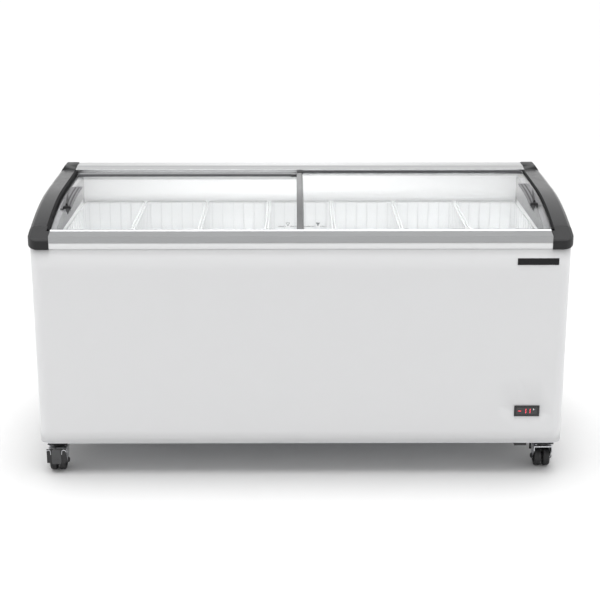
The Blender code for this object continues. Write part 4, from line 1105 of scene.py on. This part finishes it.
def make_brake(label, side):
    """Brake pedal: black guard over the wheels, a ribbed grey tongue in front and two steel loops."""
    node = f"caster_brake_{label}"
    body = f"brake_{label}"
    refined(node, 0.0008, BLACK, body, thinnest=0.0018)
    low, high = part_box(node)
    middle = (low.x + high.x) / 2
    face = low.y if side < 0 else high.y
    form = bmesh.new()
    outline = [
        (-0.0135, 0.0330, 0.002), (0.0135, 0.0330, 0.002), (0.0148, 0.0480, 0.001),
        (0.0138, 0.0815, 0.002), (-0.0138, 0.0815, 0.002), (-0.0148, 0.0480, 0.001),
    ]
    near, far = face - side * 0.0003, face + side * 0.0022
    centre = 0.0572
    rings = []
    for y, shrink in ((near, 1.0), (far - side * 0.0008, 1.0), (far, 0.95)):
        ring = [(middle + u * shrink, y, centre + (v - centre) * shrink) for u, v in rounded(outline, 4)]
        rings.append(ring)
    loft(form, rings)
    crest = far + side * 0.0007
    for z in spread(0.0380, 0.0530, 4):
        first = (middle - 0.0105, min(far, crest), z - 0.0008)
        last = (middle + 0.0105, max(far, crest), z + 0.0008)
        block(form, first, last, 0.0003, 1)
    add_piece(f"{node}_tongue", form, PEDAL, body)
    form = bmesh.new()
    for turn in (-1, 1):
        path = [
            (middle + turn * 0.0310, face + side * 0.0020, 0.0730),
            (middle + turn * 0.0285, face + side * 0.0022, 0.0800),
            (middle + turn * 0.0180, face + side * 0.0022, 0.0800),
            (middle + turn * 0.0168, face + side * 0.0022, 0.0650),
        ]
        tube(form, bent(path, 0.0075, 6), 0.0012, 10)
    add_piece(f"{node}_spring", form, PLATED, body)


def make_casters():
    for label in CASTERS:
        make_plate(label)
        make_fork(label)
        make_wheels(label)
    make_brake("front_left", -1)
    make_brake("front_right", 1)


# --- Inside the machine room ---


def make_machine_room():
    refined("compressor", 0.0010, POWDER, thinnest=0.002)
    refined("condenser", 0.0006, BRUSHED, thinnest=0.002)
    refined("fan_motor", 0.0010, POWDER, thinnest=0.002)
    refined("fan_blade", 0.0005, BLACK, "fan", thinnest=0.0015)
    dress("evaporator_coil", TUBE)
    dress("foam_insulation", FOAMED)
    refined("drain_plug", 0.0006, BUNG, segments=1, thinnest=0.002)


# --- Studio ---


FLOOR_HALF_SIZE = 40.0
SUN_POWER, SUN_SPREAD = 2.6, math.radians(50)
# Soft boxes: name, place, aim, size, power
SOFT_BOXES = (
    ("top_box", (0.0, -0.12, 2.4), (0, -0.12, 0.6), (2.4, 0.5), 12),
    ("left_box", (-3.2, -0.5, 1.4), (0, 0, 0.4), (1.6, 2.4), 9),
    ("right_box", (3.2, -0.5, 1.4), (0, 0, 0.4), (1.6, 2.4), 7),
)
# Greys of the surroundings against the Z of their direction, where negative Z reads as the first
SURROUNDINGS = ((0.0, 1.0), (0.10, 1.0), (0.22, 0.92), (0.50, 0.92), (0.70, 0.81), (0.82, 0.42), (1.0, 0.69))
# A soft bright patch behind the freezer, about 16 degrees up, which the rails mirror
GLOW_DIRECTION = (0.0, 0.963, 0.270)
GLOW_SHARPNESS, GLOW_STRENGTH = 120.0, 0.70


def add_area_light(name, place, aim, size, power):
    lamp = bpy.data.lights.new(name, "AREA")
    lamp.shape = "RECTANGLE"
    lamp.size, lamp.size_y = size
    lamp.energy = power
    thing = show(name, lamp)
    thing.location = place
    thing.rotation_euler = (Vector(aim) - Vector(place)).to_track_quat("-Z", "Y").to_euler()
    thing.visible_camera = False


def make_studio():
    """Pale floor, white surroundings, soft boxes above and beside, and a soft sun overhead."""
    form = bmesh.new()
    bmesh.ops.create_grid(form, x_segments=8, y_segments=8, size=FLOOR_HALF_SIZE)
    mesh = bpy.data.meshes.new("floor")
    form.to_mesh(mesh)
    form.free()
    mesh.materials.append(PALE_FLOOR)
    show("floor", mesh)

    world = bpy.data.worlds.new("studio")
    bpy.context.scene.world = world
    world.use_nodes = True
    tree, links = world.node_tree, world.node_tree.links
    backdrop = tree.nodes["Background"]
    place = tree.nodes.new("ShaderNodeTexCoord")
    height = tree.nodes.new("ShaderNodeSeparateXYZ")
    links.new(place.outputs["Generated"], height.inputs["Vector"])
    ramp = tree.nodes.new("ShaderNodeValToRGB")
    ramp.color_ramp.interpolation = "EASE"
    while len(ramp.color_ramp.elements) < len(SURROUNDINGS):
        ramp.color_ramp.elements.new(0.5)
    for stop, (place_up, grey) in zip(ramp.color_ramp.elements, SURROUNDINGS):
        stop.position = place_up
        stop.color = (grey, grey, grey, 1)
    links.new(height.outputs["Z"], ramp.inputs["Fac"])
    links.new(ramp.outputs["Color"], backdrop.inputs["Color"])
    towards = add_node(tree, "ShaderNodeVectorMath", {1: GLOW_DIRECTION})
    towards.operation = "DOT_PRODUCT"
    links.new(place.outputs["Generated"], towards.inputs[0])
    glow = add_node(tree, "ShaderNodeMath", {1: GLOW_SHARPNESS})
    glow.operation = "POWER"
    glow.use_clamp = True
    links.new(towards.outputs["Value"], glow.inputs[0])
    strength = add_node(tree, "ShaderNodeMath", {1: GLOW_STRENGTH, 2: 1.0})
    strength.operation = "MULTIPLY_ADD"
    links.new(glow.outputs["Value"], strength.inputs[0])
    links.new(strength.outputs["Value"], backdrop.inputs["Strength"])
    for box in SOFT_BOXES:
        add_area_light(*box)
    overhead = bpy.data.lights.new("overhead", "SUN")
    overhead.energy = SUN_POWER
    overhead.angle = SUN_SPREAD
    show("overhead", overhead)
    bpy.context.scene.view_settings.view_transform = "Standard"


CAMERA_PLACE = (-0.0163, -3.9003, 1.7446)
CAMERA_TILT, CAMERA_TURN = math.radians(90 - 14.95), math.radians(-0.22)
LENS, SENSOR_WIDTH, LENS_SHIFT = 75.42, 36.0, -0.12


def make_camera():
    camera = bpy.data.cameras.new("camera")
    camera.lens = LENS
    camera.sensor_width = SENSOR_WIDTH
    camera.shift_y = LENS_SHIFT
    thing = show("camera", camera)
    thing.location = CAMERA_PLACE
    thing.rotation_euler = (CAMERA_TILT, 0, CAMERA_TURN)
    bpy.context.scene.camera = thing


make_camera()
make_wrap()
make_front_sill()
make_front_rail()
make_rear_rail()
make_side_trims()
make_corner_caps()
make_inner_panels()
make_liner()
make_load_line()
make_rear_details()
make_base()
make_grille()
make_display()
make_badge()
make_lids()
make_baskets()
make_casters()
make_machine_room()
make_studio()
